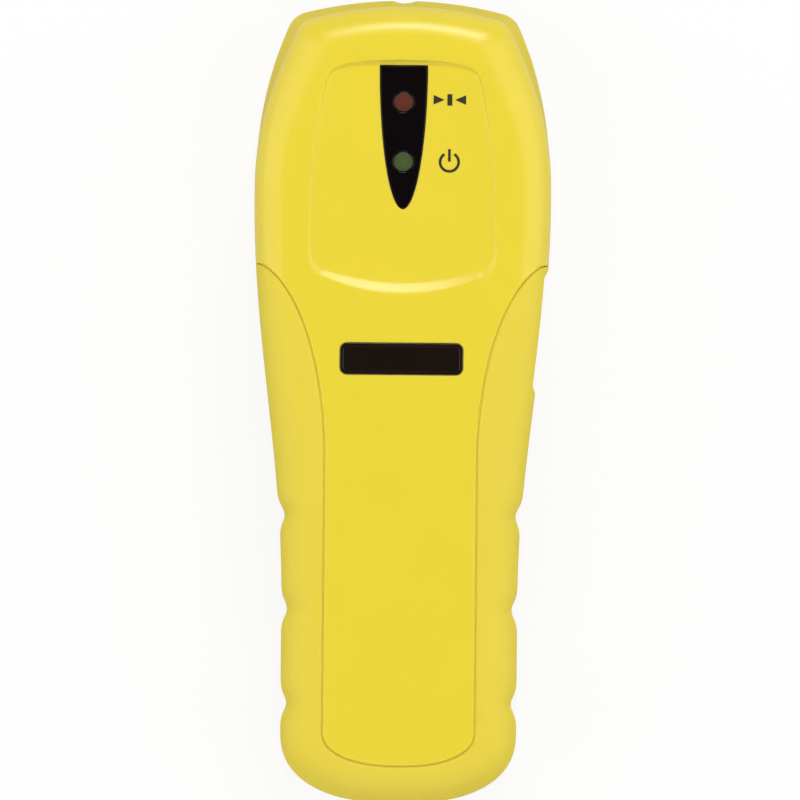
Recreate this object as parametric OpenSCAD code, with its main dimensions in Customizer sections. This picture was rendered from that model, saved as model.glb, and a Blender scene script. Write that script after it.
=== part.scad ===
// Hand-held stud finder. It lies on its flat sensing back at z = 0, with the marking end towards +Y
// and the front face up. Lengths are in millimetres.

/* [Body] */
// Overall length, from the marking end to the tail
body_len = 160.6; // [158:0.2:172]
// Width of the head at its widest
head_w = 59.2; // [58:0.2:64]
// Width of the grip
grip_w = 47.1; // [47:0.1:52]
// Thickness, from the sensing back to the front face
body_h = 31; // [30:0.5:34]
// Wall of both shells
wall = 2.2; // [2:0.1:2.5]
// Rounding of the edge round the sensing back
back_round = 1.6; // [1:0.1:2]
// Height of the parting line round the head
part_z = 10; // [9.5:0.5:12]
// Height of the rounding between the sides and the front face
round_h = 6.5; // [6:0.5:9]
// Gap at the seam between the shells
seam_gap = 0.3; // [0.2:0.05:0.4]

/* [Head] */
// Width across the top corners
top_w = 46.2; // [44:0.2:50]
// How far the top corners lie below the marking end
corner_drop = 5.3; // [5:0.1:6]
// How much of the top edge each corner rounding takes
corner_run = 3; // [2:0.1:4]
// Radius of the top edge
top_radius = 80; // [70:1:140]
// How far the widest place lies below the marking end
head_drop = 40; // [36:0.5:42]
// How square the sides of the head are
head_curve = 2.35; // [2:0.05:2.8]
// How far the back spreads beyond the front at the marking end
top_flare = 1.6; // [1.2:0.1:2]
// Length over which that spread fades down the sides
flare_len = 36; // [30:0.5:40]
// Rounding of the front edge of the head, seen from the front
head_round = 6.3; // [5:0.1:6.6]
// Width of the marking notch
notch_w = 4.8; // [3:0.1:6]
// Depth of the marking notch
notch_depth = 0.7; // [0.5:0.1:1.4]

/* [Grip] */
// Length of the waist, from the widest place to the even grip
waist_len = 80; // [74:0.5:84]
// Number of finger scallops on each side
scallop_count = 3; // [1:1:3]
// Distance between scallops
scallop_pitch = 18.8; // [16:0.1:19.5]
// Distance from the tail to the last scallop
scallop_start = 19.9; // [19:0.1:22]
// Depth of a scallop
scallop_depth = 1.15; // [0.4:0.05:1.2]
// Half length of a scallop
scallop_run = 2.2; // [1.8:0.1:3]
// Rounding of the front edge of the grip, seen from the front
grip_round = 8; // [6:0.5:8]
// Length of the rounded tail
tail_len = 14.4; // [13:0.1:16]
// How square the tail is
tail_square = 2.4; // [2:0.1:3]

/* [Tongue of the front shell] */
// Width of the tongue
tongue_w = 30.7; // [30:0.1:31.2]
// Distance between the end of the tongue and the tail
tongue_end = 7.3; // [7:0.1:9]
// How far the shoulders of the seam lie below the marking end
shoulder_drop = 52.7; // [51:0.1:54]
// Length over which the tongue spreads to the shoulders
shoulder_len = 39.6; // [36:0.2:42]
// Width of that spread on each side
shoulder_w = 16; // [15:0.1:17]
// Length over which the seam drops down the side wall
seam_fall = 6; // [5:0.5:8]

/* [Display panel] */
// Width of the panel at its upper end
panel_w = 34.8; // [32:0.2:36]
// How much wider the panel is at its lower end
panel_spread = 1.6; // [0:0.1:2]
// Distance from the marking end to the upper edge of the panel
panel_drop = 12.9; // [12:0.1:13.5]
// Length of the panel floor on its centre line
panel_len = 43.2; // [42:0.2:46]
// Depth of the panel
panel_depth = 1; // [0.6:0.1:1.2]
// How far the curved lower edge rises to its ends
panel_sag = 2.8; // [2:0.1:4]
// Length of the slope at the middle of the lower edge
panel_slope = 2.4; // [1:0.1:3]
// Rise of the panel's upper edge to its middle
panel_crown = 0.2; // [0.1:0.1:0.6]
// Rounding of the lower corners of the panel
panel_corner = 4; // [3:0.1:5]
// Rounding of the upper corners of the panel
panel_top_corner = 14; // [13:0.1:16]
// Draft of the panel's sides
panel_draft = 1.2; // [0.6:0.1:1.2]

/* [Window and lights] */
// Width of the window at its upper end
lens_w = 9.3; // [9:0.1:11]
// Length of the window
lens_len = 28.4; // [28:0.1:30]
// Distance from the marking end to the upper end of the window
lens_drop = 13.5; // [13.3:0.1:14.5]
// How far the window stands above the panel
lens_proud = 0.15; // [0.05:0.05:0.3]
// Width of the window's flange behind the shell
lens_rim = 1.3; // [1:0.1:2]
// Thickness of that flange
lens_rim_t = 1; // [0.8:0.1:1.4]
// Clearance round the window
lens_clear = 0.15; // [0.1:0.05:0.25]
// Diameter of a light
led_d = 3.9; // [3:0.1:4]
// Height of a light
led_h = 5.3; // [5:0.1:6]
// Diameter of the rim at the foot of a light
led_rim_d = 4.8; // [4.6:0.1:5]
// Height of that rim
led_rim_h = 1; // [0.8:0.1:1.2]
// Clearance round a light in the window
led_clear = 0.15; // [0.1:0.05:0.25]
// Distance from the marking end to the red light
red_drop = 20.7; // [20:0.1:22]
// Distance from the red light to the green light
led_pitch = 11.9; // [11:0.1:12.4]
// Diameter of a light's leads
led_lead_d = 0.5; // [0.4:0.05:0.6]
// Distance between the two leads of a light
led_lead_pitch = 2.54; // [2:0.02:2.6]
// Diameter of the spacer's posts
spacer_d = 6; // [5.5:0.1:7]
// Thickness of the web between those posts
spacer_web = 2.4; // [1.6:0.1:3]

/* [Badge plate] */
// Width of the badge plate
badge_w = 24.4; // [20:0.2:26]
// Height of the badge plate
badge_l = 6.2; // [5:0.1:7]
// Corner radius of the badge plate
badge_r = 1.4; // [0.8:0.1:2.4]
// Distance from the marking end to the middle of the plate
badge_drop = 71.9; // [68:0.1:76]
// Depth of the plate's pocket in the shell
badge_pocket = 0.6; // [0.4:0.1:0.8]
// How far the plate stands above the shell
badge_proud = 0.15; // [0.1:0.05:0.3]
// Clearance round the plate
badge_clear = 0.12; // [0.1:0.02:0.2]

/* [Button and switch] */
// Length of the button
button_len = 21; // [18:0.2:22]
// Height of the button
button_h = 11; // [9:0.2:12]
// Distance from the marking end to the middle of the button
button_drop = 66.3; // [65.5:0.1:68]
// Height of the middle of the button
button_z = 13.6; // [13.2:0.1:14]
// Depth of the thumb pocket in the side wall round the button
pocket_depth = 0.7; // [0.4:0.1:0.9]
// How far the button lies below the floor of that pocket
button_sink = 0.05; // [0:0.05:0.3]
// Corner radius of the button
button_r = 2.5; // [1.5:0.1:3.5]
// Clearance round the button
button_clear = 0.3; // [0.25:0.05:0.4]
// How far the button's flange reaches past its opening
button_rim = 1.2; // [0.8:0.1:1.3]
// Thickness of that flange
button_rim_t = 1.2; // [1:0.1:1.4]
// Travel of the button
button_travel = 1; // [0.6:0.1:1.2]
// Width of the rib that pushes the plunger
button_rib = 4; // [3:0.1:5]
// Length of that rib
button_rib_len = 1.4; // [1.2:0.1:1.6]
// Width of the switch
switch_w = 6.2; // [5.8:0.1:7]
// Depth of the switch
switch_t = 3.6; // [3.2:0.1:4]
// Height of the switch
switch_h = 7.4; // [7:0.1:8]
// Diameter of the plunger
plunger_d = 3.5; // [3:0.1:3.8]
// Length of the plunger outside the switch
plunger_out = 1.8; // [1.6:0.1:2.2]
// Length of the plunger inside the switch
plunger_in = 1; // [0.8:0.1:1.2]
// Height of the plunger above the board
plunger_rise = 5; // [4.8:0.1:5.2]
// Clearance between the plunger and its neighbours
plunger_clear = 0.2; // [0.15:0.05:0.3]

/* [Board] */
// Thickness of the board
board_t = 1.6; // [1.2:0.1:1.6]
// Gap between the inner floor and the board
board_lift = 2.4; // [2:0.1:2.6]
// Clearance between the board and the side walls
board_clear = 1.2; // [0.8:0.1:1.6]
// Distance from the marking end to the upper edge of the board
board_drop = 6; // [5.6:0.1:7]
// Length of the board
board_len = 60; // [59:0.5:62]
// Width of the board's narrow upper end
board_neck_w = 23; // [21:0.5:23.4]
// Length of that narrow end
board_neck_len = 14.5; // [14:0.5:16]
// Diameter of the board's posts
post_d = 5.6; // [5:0.1:6]
// Diameter of the board screws
board_screw_d = 2.2; // [2:0.1:2.4]
// Length of the board screws
board_screw_len = 4.8; // [4:0.1:4.8]
// Diameter of the board screws' heads
board_head_d = 4; // [3.8:0.1:4.4]
// Height of the board screws' heads
board_head_h = 1.5; // [1.2:0.1:1.8]
// Clearance round a screw in its hole
screw_clear = 0.06; // [0.05:0.01:0.1]
// Distance from the board's edges to its screws
board_screw_in = 4; // [3.6:0.1:4.4]
// Distance from the board's lower edge to its lower screws
board_screw_up = 28; // [26:0.5:29]
// Thickness of the sensing plates
plate_t = 0.3; // [0.2:0.1:0.4]
// Length of the sensing plates
plate_len = 22; // [18:0.5:22.5]
// Width of the middle sensing plate
plate_w = 14; // [12:0.5:16]
// Gap between the sensing plates
plate_gap = 2; // [1.5:0.1:3]

/* [Parts on the board] */
// Length of the controller chip
chip_len = 10; // [8:0.1:11]
// Width of the controller chip
chip_w = 4; // [3.8:0.1:5]
// Thickness of the controller chip
chip_t = 1.5; // [1.2:0.1:1.8]
// Number of legs on each side of the chip
chip_legs = 8; // [4:1:8]
// Distance between those legs
chip_pitch = 1.2; // [0.9:0.05:1.25]
// Length of a chip leg
chip_leg = 1.1; // [0.8:0.1:1.4]
// Distance from the middle to the chip
chip_x = 12; // [10:0.5:13]
// Distance from the board's lower edge to the chip
chip_up = 28; // [26:0.5:30]
// Diameter of the filter capacitor
cap_d = 6.3; // [5:0.1:7]
// Height of the filter capacitor
cap_h = 10; // [7:0.5:12]
// Distance from the board's side to the capacitor's middle
cap_in = 9; // [8:0.5:10]
// Distance from the board's shoulder to the capacitor's middle
cap_down = 6; // [5:0.5:7]
// Diameter of the buzzer
buzzer_d = 13; // [11:0.5:14]
// Height of the buzzer
buzzer_h = 6; // [5:0.5:8]
// Diameter of the buzzer's sound hole
buzzer_hole_d = 2; // [1.5:0.1:3]
// Distance from the board's side to the buzzer's middle
buzzer_in = 12.5; // [12:0.5:13]
// Distance from the board's lower edge to the buzzer's middle
buzzer_up = 38; // [37:0.5:38]
// Length of a small chip part
chip_part_len = 2; // [1.6:0.1:2.4]
// Distance between small chip parts
chip_part_pitch = 3.4; // [3:0.1:3.6]

/* [Case screws] */
// Diameter of the case screws
screw_d = 3; // [2.8:0.1:3.2]
// Diameter of the case screws' heads
screw_head_d = 5.4; // [5:0.1:5.6]
// Height of the case screws' heads
screw_head_h = 2; // [1.6:0.1:2.4]
// Length of the case screws under the head
screw_len = 12; // [10:0.5:14]
// Width of the slots across the screw heads
screw_slot = 0.8; // [0.6:0.1:1]
// Height of the shoulder under the screw heads
screw_seat_z = 6; // [5:0.5:6.5]
// Wall of the screw bosses
boss_wall = 1.4; // [1.2:0.1:1.6]
// Thickness of the shelf under the screw heads
boss_shelf = 3; // [2:0.5:4]
// Clearance of a screw in a hole that it only passes through
screw_pass = 0.2; // [0.15:0.05:0.3]
// Distance from the middle to the upper screws
screw_top_x = 17; // [16.6:0.1:17.4]
// Distance from the marking end to the upper screws
screw_top_drop = 14.3; // [14:0.1:14.8]
// Distance from the middle to the lower screws
screw_low_x = 11; // [10.6:0.1:11.4]
// Distance from the tail to the lower screws
screw_low_start = 62.3; // [62:0.1:64]

/* [Battery] */
// Length of the battery case
battery_len = 46.4; // [45:0.1:47]
// Width of the battery
battery_w = 26.5; // [25:0.1:26.5]
// Thickness of the battery
battery_t = 17.5; // [16:0.1:17.5]
// Corner radius of the battery
battery_r = 2; // [1:0.1:3]
// Distance from the tail to the battery
battery_start = 4.7; // [4.5:0.1:5]
// Clearance round the battery
battery_clear = 0.4; // [0.3:0.05:0.5]
// Distance between the two terminals
terminal_pitch = 12.7; // [12.4:0.1:13]
// Height of the terminals
terminal_h = 2.1; // [1.8:0.1:2.3]
// Diameter of the stud terminal
stud_d = 5.7; // [5.4:0.1:5.8]
// Outer diameter of the socket terminal
socket_d = 8.4; // [8:0.1:8.6]
// Clearance between a stud and a socket
snap_clear = 0.25; // [0.2:0.05:0.3]
// Thickness of the snap connector
snap_t = 3; // [2.5:0.1:3.4]
// Width of the snap connector
snap_w = 25.4; // [24:0.1:26]
// Height of the snap connector
snap_h = 12.4; // [11:0.1:13]
// Corner radius of the snap connector
snap_r = 3; // [2:0.1:5]
// Diameter of a battery lead
lead_d = 1.4; // [1:0.1:1.6]
// Distance from the middle to each lead
lead_x = 3.6; // [2:0.1:4.2]
// Distance from the board's lower edge to the leads
lead_in = 3; // [2:0.1:3.6]
// How high the leads arch over the board
lead_rise = 16; // [10:0.5:18]

/* [Battery door] */
// Thickness of the door's outer plate
door_t = 2; // [1.8:0.1:2.2]
// Thickness of the door's inner plate
door_rim_t = 1.1; // [1:0.1:1.4]
// How far the inner plate reaches past the outer one
door_rim = 1.5; // [1.2:0.1:1.6]
// Running clearance of the door in its tracks
door_clear = 0.3; // [0.25:0.05:0.35]
// How far the door lies above the sensing back
door_sink = 0.2; // [0.15:0.05:0.3]
// Distance from the tail to the closed end of the door
door_len = 56; // [55:0.2:57]
// How far the door's open end lies inside the tail
door_inset = 1.2; // [1:0.1:1.4]
// Thickness of the track walls
track_wall = 1.8; // [1.6:0.1:1.9]
// Height of the walls beside the battery
cradle_h = 16; // [12:0.5:17]
// Number of finger grooves in the door
groove_count = 5; // [3:1:6]
// Distance between finger grooves
groove_pitch = 2.4; // [2:0.1:3]
// Depth of a finger groove
groove_depth = 0.6; // [0.4:0.1:0.8]
// Width of the finger grooves
groove_w = 16.4; // [12:0.2:18]
// Distance from the tail to the first finger groove
groove_start = 12; // [11:0.5:14]

/* [Hidden] */
$fn = 48;
// How far a cut runs past the solid that it cuts
over = 1;
// How far two forms of one moulding run into each other
weld = 0.5;

y_top = body_len / 2;
y_tail = -body_len / 2;
corner_y = y_top - corner_drop;
head_y = y_top - head_drop;
shoulder_y = y_top - shoulder_drop;
tail_y = y_tail + tail_len;
edge_z = body_h - round_h;
floor_z = max(wall, back_round);

// Steps round the outline and along a wall
top_steps = 6;
corner_steps = 3;
head_steps = 8;
seam_steps = 16;
waist_steps = 10;
scallop_steps = 28;
tail_steps = 9;
// Steps round a lower and an upper corner of the panel, and along half its lower edge
panel_turn = 5;
panel_top_turn = 9;
panel_low_steps = 8;
// How much of the slope at the lower edge is gone at its ends
panel_taper = 0.45;

function lerp(a, b, t) = a + (b - a) * t;
function clamp01(t) = min(1, max(0, t));
function smooth(t) = let (c = clamp01(t)) c * c * (3 - 2 * c);

// Half the width of the body at a height y, without the scallops
function side_half(y) =
    y > head_y
    ? head_w / 2 - (head_w - top_w) / 2 * pow((y - head_y) / (corner_y - head_y), head_curve)
    : lerp(grip_w, head_w, (1 + cos(180 * clamp01((head_y - y) / waist_len))) / 2) / 2;
function scallop_y(i) = y_tail + scallop_start + i * scallop_pitch;
function scallop_cut(y) =
    let (cuts = [for (i = [0 : scallop_count - 1])
        scallop_depth * exp(-pow((y - scallop_y(i)) / scallop_run, 2))])
    cuts * [for (c = cuts) 1];
function top_edge(x) = y_top - top_radius + sqrt(top_radius * top_radius - x * x);

// A station on the right half of the outline is [x, y, pull in x, pull in y, scallop, flare, rounding, seam].
// An inset of d moves it by d times its pull. The last three shape the wall that stands on it.
corner_x = side_half(corner_y);
corner_lean = side_half(corner_y - 1) - corner_x;
corner_tip = [corner_x - corner_lean * (top_edge(corner_x) - corner_y), top_edge(corner_x)];
function bend(a, b, c, t) = lerp(lerp(a, b, t), lerp(b, c, t), t);
function edge_round(y) = lerp(head_round, grip_round, smooth((shoulder_y - y) / shoulder_len));
function flare(y) = top_flare * smooth((y - y_top + flare_len) / (flare_len - corner_drop));
function pull_y(y) = clamp01((y - head_y + head_drop / 4) / (corner_y - head_y + head_drop / 4));

// Where the seam cuts the wall: 1 is the parting line, 2 the start of the rounding, 3 its end,
// and beyond that it counts millimetres across the front face.
tongue_foot_y = shoulder_y - shoulder_len;
function tongue_half(y) =
    tongue_w / 2
    + (y < tongue_foot_y ? 0
       : shoulder_w * (1 - sqrt(1 - pow(clamp01((y - tongue_foot_y) / shoulder_len), 2))));
function seam_at(d, r) = d < r ? 2 + acos(1 - max(0, d) / r) / 90 : 3 + d - r;
function seam(y) =
    y > shoulder_y
    ? 1 + pow(1 - clamp01((y - shoulder_y) / seam_fall), 2)
    : seam_at(side_half(y) - tongue_half(y), edge_round(y));

// Height y at which the seam cuts the wall at place p, found by halving between two heights
function seam_y(p, low, high, tries) =
    let (mid = (low + high) / 2)
    tries == 0 ? mid
    : seam(mid) > p ? seam_y(p, mid, high, tries - 1)
    : seam_y(p, low, mid, tries - 1);

function top_station(x, y) = [x, y, x / corner_x, 1, 0, top_flare, head_round, 1];
function side_station(y) =
    [side_half(y), y, 1, pull_y(y), scallop_cut(y), flare(y), edge_round(y), seam(y)];
function tail_station(a) =
    let (c = pow(cos(a), 2 / tail_square),
         s = pow(sin(a), 2 / tail_square),
         half = side_half(tail_y),
         d = lerp(half - tongue_w / 2, tongue_end, pow(sin(a), 2)))
    [half * c, tail_y - tail_len * s, c, -s, 0, 0, grip_round, seam_at(d, grip_round)];

corner_from = [corner_x - corner_run, top_edge(corner_x - corner_run)];
corner_to = [corner_x, corner_y];
scallop_top_y = scallop_y(scallop_count - 1) + 3 * scallop_run;
seam_top_y = shoulder_y + seam_fall;
seam_low_y = seam_y(3, tongue_foot_y, shoulder_y, 20);
stations = [
    for (k = [0 : top_steps]) let (x = corner_from.x * k / top_steps) top_station(x, top_edge(x)),
    for (k = [1 : corner_steps])
        let (p = bend(corner_from, corner_tip, corner_to, k / (corner_steps + 1))) top_station(p.x, p.y),
    for (k = [0 : head_steps]) side_station(lerp(corner_y, seam_top_y, k / head_steps)),
    for (k = [1 : seam_steps])
        side_station(seam_y(1 + 2 * k / seam_steps, tongue_foot_y, seam_top_y, 20)),
    for (k = [1 : waist_steps]) side_station(lerp(seam_low_y, scallop_top_y, k / waist_steps)),
    for (k = [1 : scallop_steps]) side_station(lerp(scallop_top_y, tail_y, k / scallop_steps)),
    for (k = [1 : tail_steps]) tail_station(90 * k / tail_steps)
];
last = len(stations) - 1;

// A place on the wall over a station, as [inset, height, inward in plan, inward in height]
function wall_at(s, p) =
    let (r = s[6],
         a = 90 * clamp01(p - 2),
         along = [cos(a) / r, -sin(a) / round_h] / norm([cos(a) / r, sin(a) / round_h]))
    p < 1 ? [s[5] * p, lerp(back_round, part_z, p), 1, 0]
    : p < 2 ? [s[5], lerp(part_z, edge_z, p - 1), 1, 0]
    : [s[5] + r * (1 - cos(a)) + max(0, p - 3), edge_z + round_h * sin(a), along.x, along.y];
function inset(s, d, z) =
    [s[0] - s[4] * clamp01(1 - d / grip_round) - d * s[2], s[1] - d * s[3], z];
function outer(s, p) = let (w = wall_at(s, p)) inset(s, w[0], w[1]);
function inner(s, p) = let (w = wall_at(s, p)) inset(s, w[0] + wall * w[2], w[1] + wall * w[3]);

// A ring goes round the whole body: the right half and its mirror image
function mirrored(half) =
    concat(half, [for (i = [last - 1 : -1 : 1]) [-half[i].x, half[i].y, half[i].z]]);

// One closed solid through a list of rings, capped at its first and last ring by strips from side to side
function cap_strip(n, i) =
    let (a = i, b = i + 1, c = n - 1 - i, d = n - i)
    i == 0 ? [a, b, c] : b == c ? [a, b, d] : [a, b, c, d];
module ring_solid(rings) {
    n = len(rings[0]);
    points = [for (r = rings) each r];
    end = (len(rings) - 1) * n;
    caps = [for (i = [0 : n / 2 - 1])
        let (strip = cap_strip(n, i))
        each [[for (k = [len(strip) - 1 : -1 : 0]) strip[k]], [for (k = strip) end + k]]];
    strips = [for (r = [0 : len(rings) - 2], i = [0 : n - 1])
        let (a = r * n + i, b = r * n + (i + 1) % n)
        each i < n / 2 ? [[a, b, b + n], [a, b + n, a + n]] : [[a, b, a + n], [b, b + n, a + n]]];
    polyhedron(points, concat(caps, strips), convexity = 8);
}

// Where the rings lie on each wall: one on the side, then closer ones over the rounding
round_steps = 4;
function rear_places(start, seam) =
    let (low = min(2, seam * 2 / 3),
         knee = min(3, max(seam - 0.2, seam * 0.9)))
    [start, (start + low) / 2, for (k = [0 : round_steps]) lerp(low, knee, k / round_steps), seam];
function front_places(start, end) =
    let (low = max(2, lerp(start, end, 0.2)))
    [start, for (k = [0 : round_steps]) lerp(low, end, k / round_steps)];
rear_rings = [0 : round_steps + 2];
front_rings = [0 : round_steps + 1];
// The inner face needs fewer rings
rear_inner_rings = [round_steps + 2, round_steps + 1, 4, 2, 0];
front_inner_rings = [round_steps + 1, 3, 1, 0];

floor_step = (floor_z - back_round) / (part_z - back_round);
half_round = back_round * (1 - sqrt(0.5));
function front_start(s) =
    let (p = s[7],
         arc = (s[6] + round_h) * PI / 4)
    p + (p < 2 ? seam_gap / (edge_z - part_z) : p < 3 ? seam_gap / arc : seam_gap);
function front_end(s) = max(3, front_start(s) + 1);

module rear_tray() {
    ring_solid([
        mirrored([for (s = stations) inset(s, back_round, 0)]),
        mirrored([for (s = stations) inset(s, half_round, half_round)]),
        for (k = rear_rings) mirrored([for (s = stations) outer(s, rear_places(0, s[7])[k])]),
        for (k = rear_inner_rings)
            mirrored([for (s = stations) inner(s, rear_places(floor_step, s[7])[k])])
    ]);
}

module front_cap() {
    ring_solid([
        for (k = front_inner_rings)
            mirrored([for (s = stations) inner(s, front_places(front_start(s), front_end(s))[k])]),
        for (k = front_rings)
            mirrored([for (s = stations) outer(s, front_places(front_start(s), front_end(s))[k])])
    ]);
}

// Heights and places that several pieces share
front_in_z = body_h - wall;
panel_z = body_h - panel_depth;
panel_top_y = y_top - panel_drop;
lens_top_y = y_top - lens_drop;
lens_z = panel_z + lens_proud;
red_y = y_top - red_drop;
green_y = red_y - led_pitch;
led_z = lens_z - lens_proud;
led_foot_z = led_z - led_h;
badge_y = y_top - badge_drop;
button_y = y_top - button_drop;
board_z = floor_z + board_lift;
board_top_z = board_z + board_t;
board_top_y = y_top - board_drop;
board_low_y = board_top_y - board_len;
board_shoulder_y = board_top_y - board_neck_len;
board_reach_y = board_shoulder_y + wall;
board_reach = min(side_half(board_low_y), side_half(board_reach_y) - flare(board_reach_y));
board_half = board_reach - wall - board_clear;
screw_top_y = y_top - screw_top_drop;
screw_low_y = y_tail + screw_low_start;
screw_places = [
    for (sx = [-1, 1]) each [[sx * screw_top_x, screw_top_y], [sx * screw_low_x, screw_low_y]]
];
screw_head_r = screw_head_d / 2 + screw_pass;
boss_top_z = screw_seat_z + boss_shelf;
door_top_z = door_sink + door_t + door_clear + door_rim_t;
battery_z = door_top_z + battery_clear;
battery_y = y_tail + battery_start;
battery_top_y = battery_y + battery_len;
battery_mid_z = battery_z + battery_t / 2;
snap_y = battery_top_y + terminal_h + snap_clear;
cradle_half = battery_w / 2 + battery_clear;
door_rim_half = cradle_half + door_rim;
door_half = door_rim_half - door_rim;
door_start_y = y_tail + door_len;

module rounded_plate(w, l, h, r) {
    translate([0, 0, h / 2]) {
        cube([w - 2 * r, l, h], center = true);
        cube([w, l - 2 * r, h], center = true);
        for (sx = [-1, 1], sy = [-1, 1])
            translate([sx * (w / 2 - r), sy * (l / 2 - r), 0]) cylinder(r = r, h = h, center = true);
    }
}

// Window outline, half an ellipse with a flat upper end, grown by g
module lens_outline(g) {
    steps = 24;
    polygon([for (k = [0 : steps])
        let (a = 180 * k / steps)
        [(lens_w / 2 + g) * cos(a), lens_top_y + g - (lens_len + 2 * g) * sin(a)]]);
}

// Panel outline, grown by g and with its lower edge moved down by drop: an almost straight upper end with
// round corners, and a curved lower end
function panel_half(y, g) = panel_w / 2 + g + panel_spread / 2 * clamp01((panel_top_y - y) / panel_len);
function panel_low(x, drop) =
    panel_top_y - panel_len - drop + (panel_sag + drop * panel_taper) * pow(x / (panel_w / 2), 2);
function panel_ring(z, g, drop) =
    let (end_x = panel_w / 2 - panel_corner / 2,
         end = [end_x, panel_low(end_x, drop)],
         side = [panel_half(end.y, g), end.y + panel_corner * 1.5],
         tip = [side.x, end.y],
         half = [
            [0, panel_top_y + g + panel_crown],
            for (k = [0 : panel_top_turn])
                let (a = 90 * (1 - k / panel_top_turn))
                [panel_half(panel_top_y, g) - panel_top_corner * (1 - cos(a)),
                 panel_top_y + g - panel_top_corner * (1 - sin(a))],
            for (k = [0 : panel_turn - 1]) bend(side, tip, end, k / panel_turn),
            for (k = [0 : panel_low_steps])
                let (x = end_x * (1 - k / panel_low_steps)) [x, panel_low(x, drop)]
         ])
    concat([for (p = half) [p.x, p.y, z]],
           [for (i = [len(half) - 2 : -1 : 1]) [-half[i].x, half[i].y, z]]);
module panel_cut() {
    rise = 1 + over / panel_depth;
    ring_solid([panel_ring(panel_z, 0, 0),
                panel_ring(body_h + over, panel_draft * rise, panel_slope * rise)]);
}

module screw_bores(d, z0, z1, places) {
    for (p = places)
        translate([p.x, p.y, z0]) cylinder(d = d, h = z1 - z0);
}

// Strip along the right side wall, from one depth behind the outline to another
module wall_strip(from, to, len, z0, z1) {
    steps = 8;
    ys = [for (k = [0 : steps]) button_y - len / 2 + len * k / steps];
    translate([0, 0, z0])
        linear_extrude(z1 - z0)
            polygon(concat([for (y = ys) [side_half(y) - from, y]],
                           [for (k = [steps : -1 : 0]) [side_half(ys[k]) - to, ys[k]]]));
}

// Bar along X whose section is a rounded rectangle, for the button and its opening
module side_bar(len, h, r) {
    translate([0, button_y, button_z])
        rotate([90, 0, 90])
            rounded_plate(len, h, head_w, r);
}

// The tracks beside the battery, which also guide the door
module tracks() {
    out = door_rim_half + door_clear;
    lip_z = door_top_z + battery_clear;
    low_y = battery_y + wall;
    high_y = battery_top_y - wall / 2;
    for (sx = [-1, 1])
        translate([0, high_y, 0])
            rotate([90, 0, 0])
                linear_extrude(high_y - low_y)
                    polygon([for (p = [
                        [out, floor_z - weld], [out + track_wall, floor_z - weld],
                        [out + track_wall, floor_z + cradle_h], [cradle_half, floor_z + cradle_h],
                        [cradle_half, lip_z], [out, lip_z]]) [sx * p.x, p.y]]);
}

module door_opening() {
    half = door_half + door_clear;
    translate([-half, y_tail - over, -over])
        cube([2 * half, door_len + over + door_clear, floor_z + 2 * over]);
    rim = door_rim_half + door_clear;
    translate([-rim, y_tail - over, door_sink + door_t])
        cube([2 * rim, tail_len, door_top_z + battery_clear - door_sink - door_t]);
}

board_posts = [for (sx = [-1, 1]) each [
    [sx * (board_half - board_screw_in), board_low_y + board_screw_up],
    [sx * (board_neck_w / 2 - board_screw_in), board_top_y - board_screw_in]]];

module rear_shell() {
    color("#f0d94d")
        difference() {
            union() {
                rear_tray();
                tracks();
                screw_bores(2 * (screw_head_r + boss_wall), floor_z - weld, boss_top_z, screw_places);
                screw_bores(post_d, floor_z - weld, board_z, board_posts);
            }
            door_opening();
            screw_bores(2 * screw_head_r, -over, screw_seat_z, screw_places);
            screw_bores(screw_d + 2 * screw_pass, screw_seat_z - over, boss_top_z + over, screw_places);
            screw_bores(board_screw_d + 2 * screw_clear, board_top_z - board_screw_len - screw_pass,
                        board_z + over, board_posts);
            intersection() {
                side_bar(button_len + 2 * button_clear, button_h + 2 * button_clear, button_r + button_clear);
                translate([grip_w / 4, -body_len / 2, 0]) cube([head_w, body_len, body_h]);
            }
            wall_strip(-wall, pocket_depth, button_len + 2 * button_clear, -over, body_h + over);
            marking_notch();
        }
}

module marking_notch() {
    r = notch_w * notch_w / 8 / notch_depth + notch_depth / 2;
    translate([0, y_top - notch_depth + r, -over]) cylinder(r = r, h = body_h + 2 * over);
}

// Front moulding with its bosses, its ribs over the battery and its recessed panel
module front_body() {
    rib_half = battery_w / 2 - 2 * battery_r;
    rib_z = battery_z + battery_t + battery_clear;
    difference() {
        union() {
            front_cap();
            screw_bores(screw_d + 2 * boss_wall, boss_top_z, front_in_z + weld, screw_places);
            for (y = [battery_y + battery_len / 4, battery_y + battery_len * 3 / 4])
                translate([-rib_half, y - wall / 2, rib_z])
                    cube([2 * rib_half, wall, front_in_z + weld - rib_z]);
        }
        panel_cut();
    }
}

module front_shell() {
    color("#f1da3f")
        difference() {
            front_body();
            translate([0, 0, front_in_z - over])
                linear_extrude(wall + 1.5 * over) lens_outline(lens_clear);
            translate([0, badge_y, body_h - badge_pocket])
                rounded_plate(badge_w + 2 * badge_clear, badge_l + 2 * badge_clear,
                              wall, badge_r + badge_clear);
            screw_bores(screw_d + 2 * screw_clear, boss_top_z - over,
                        screw_seat_z + screw_len + over, screw_places);
        }
}

module display_lens() {
    color("#0d0509")
        difference() {
            union() {
                translate([0, 0, front_in_z - lens_rim_t])
                    linear_extrude(lens_z - front_in_z + lens_rim_t) lens_outline(0);
                translate([0, 0, front_in_z - lens_rim_t])
                    linear_extrude(lens_rim_t) lens_outline(lens_rim);
            }
            for (y = [red_y, green_y])
                translate([0, y, front_in_z - lens_rim_t - over])
                    cylinder(d = led_d + 2 * led_clear, h = wall + lens_rim_t + 2 * over);
        }
}

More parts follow.
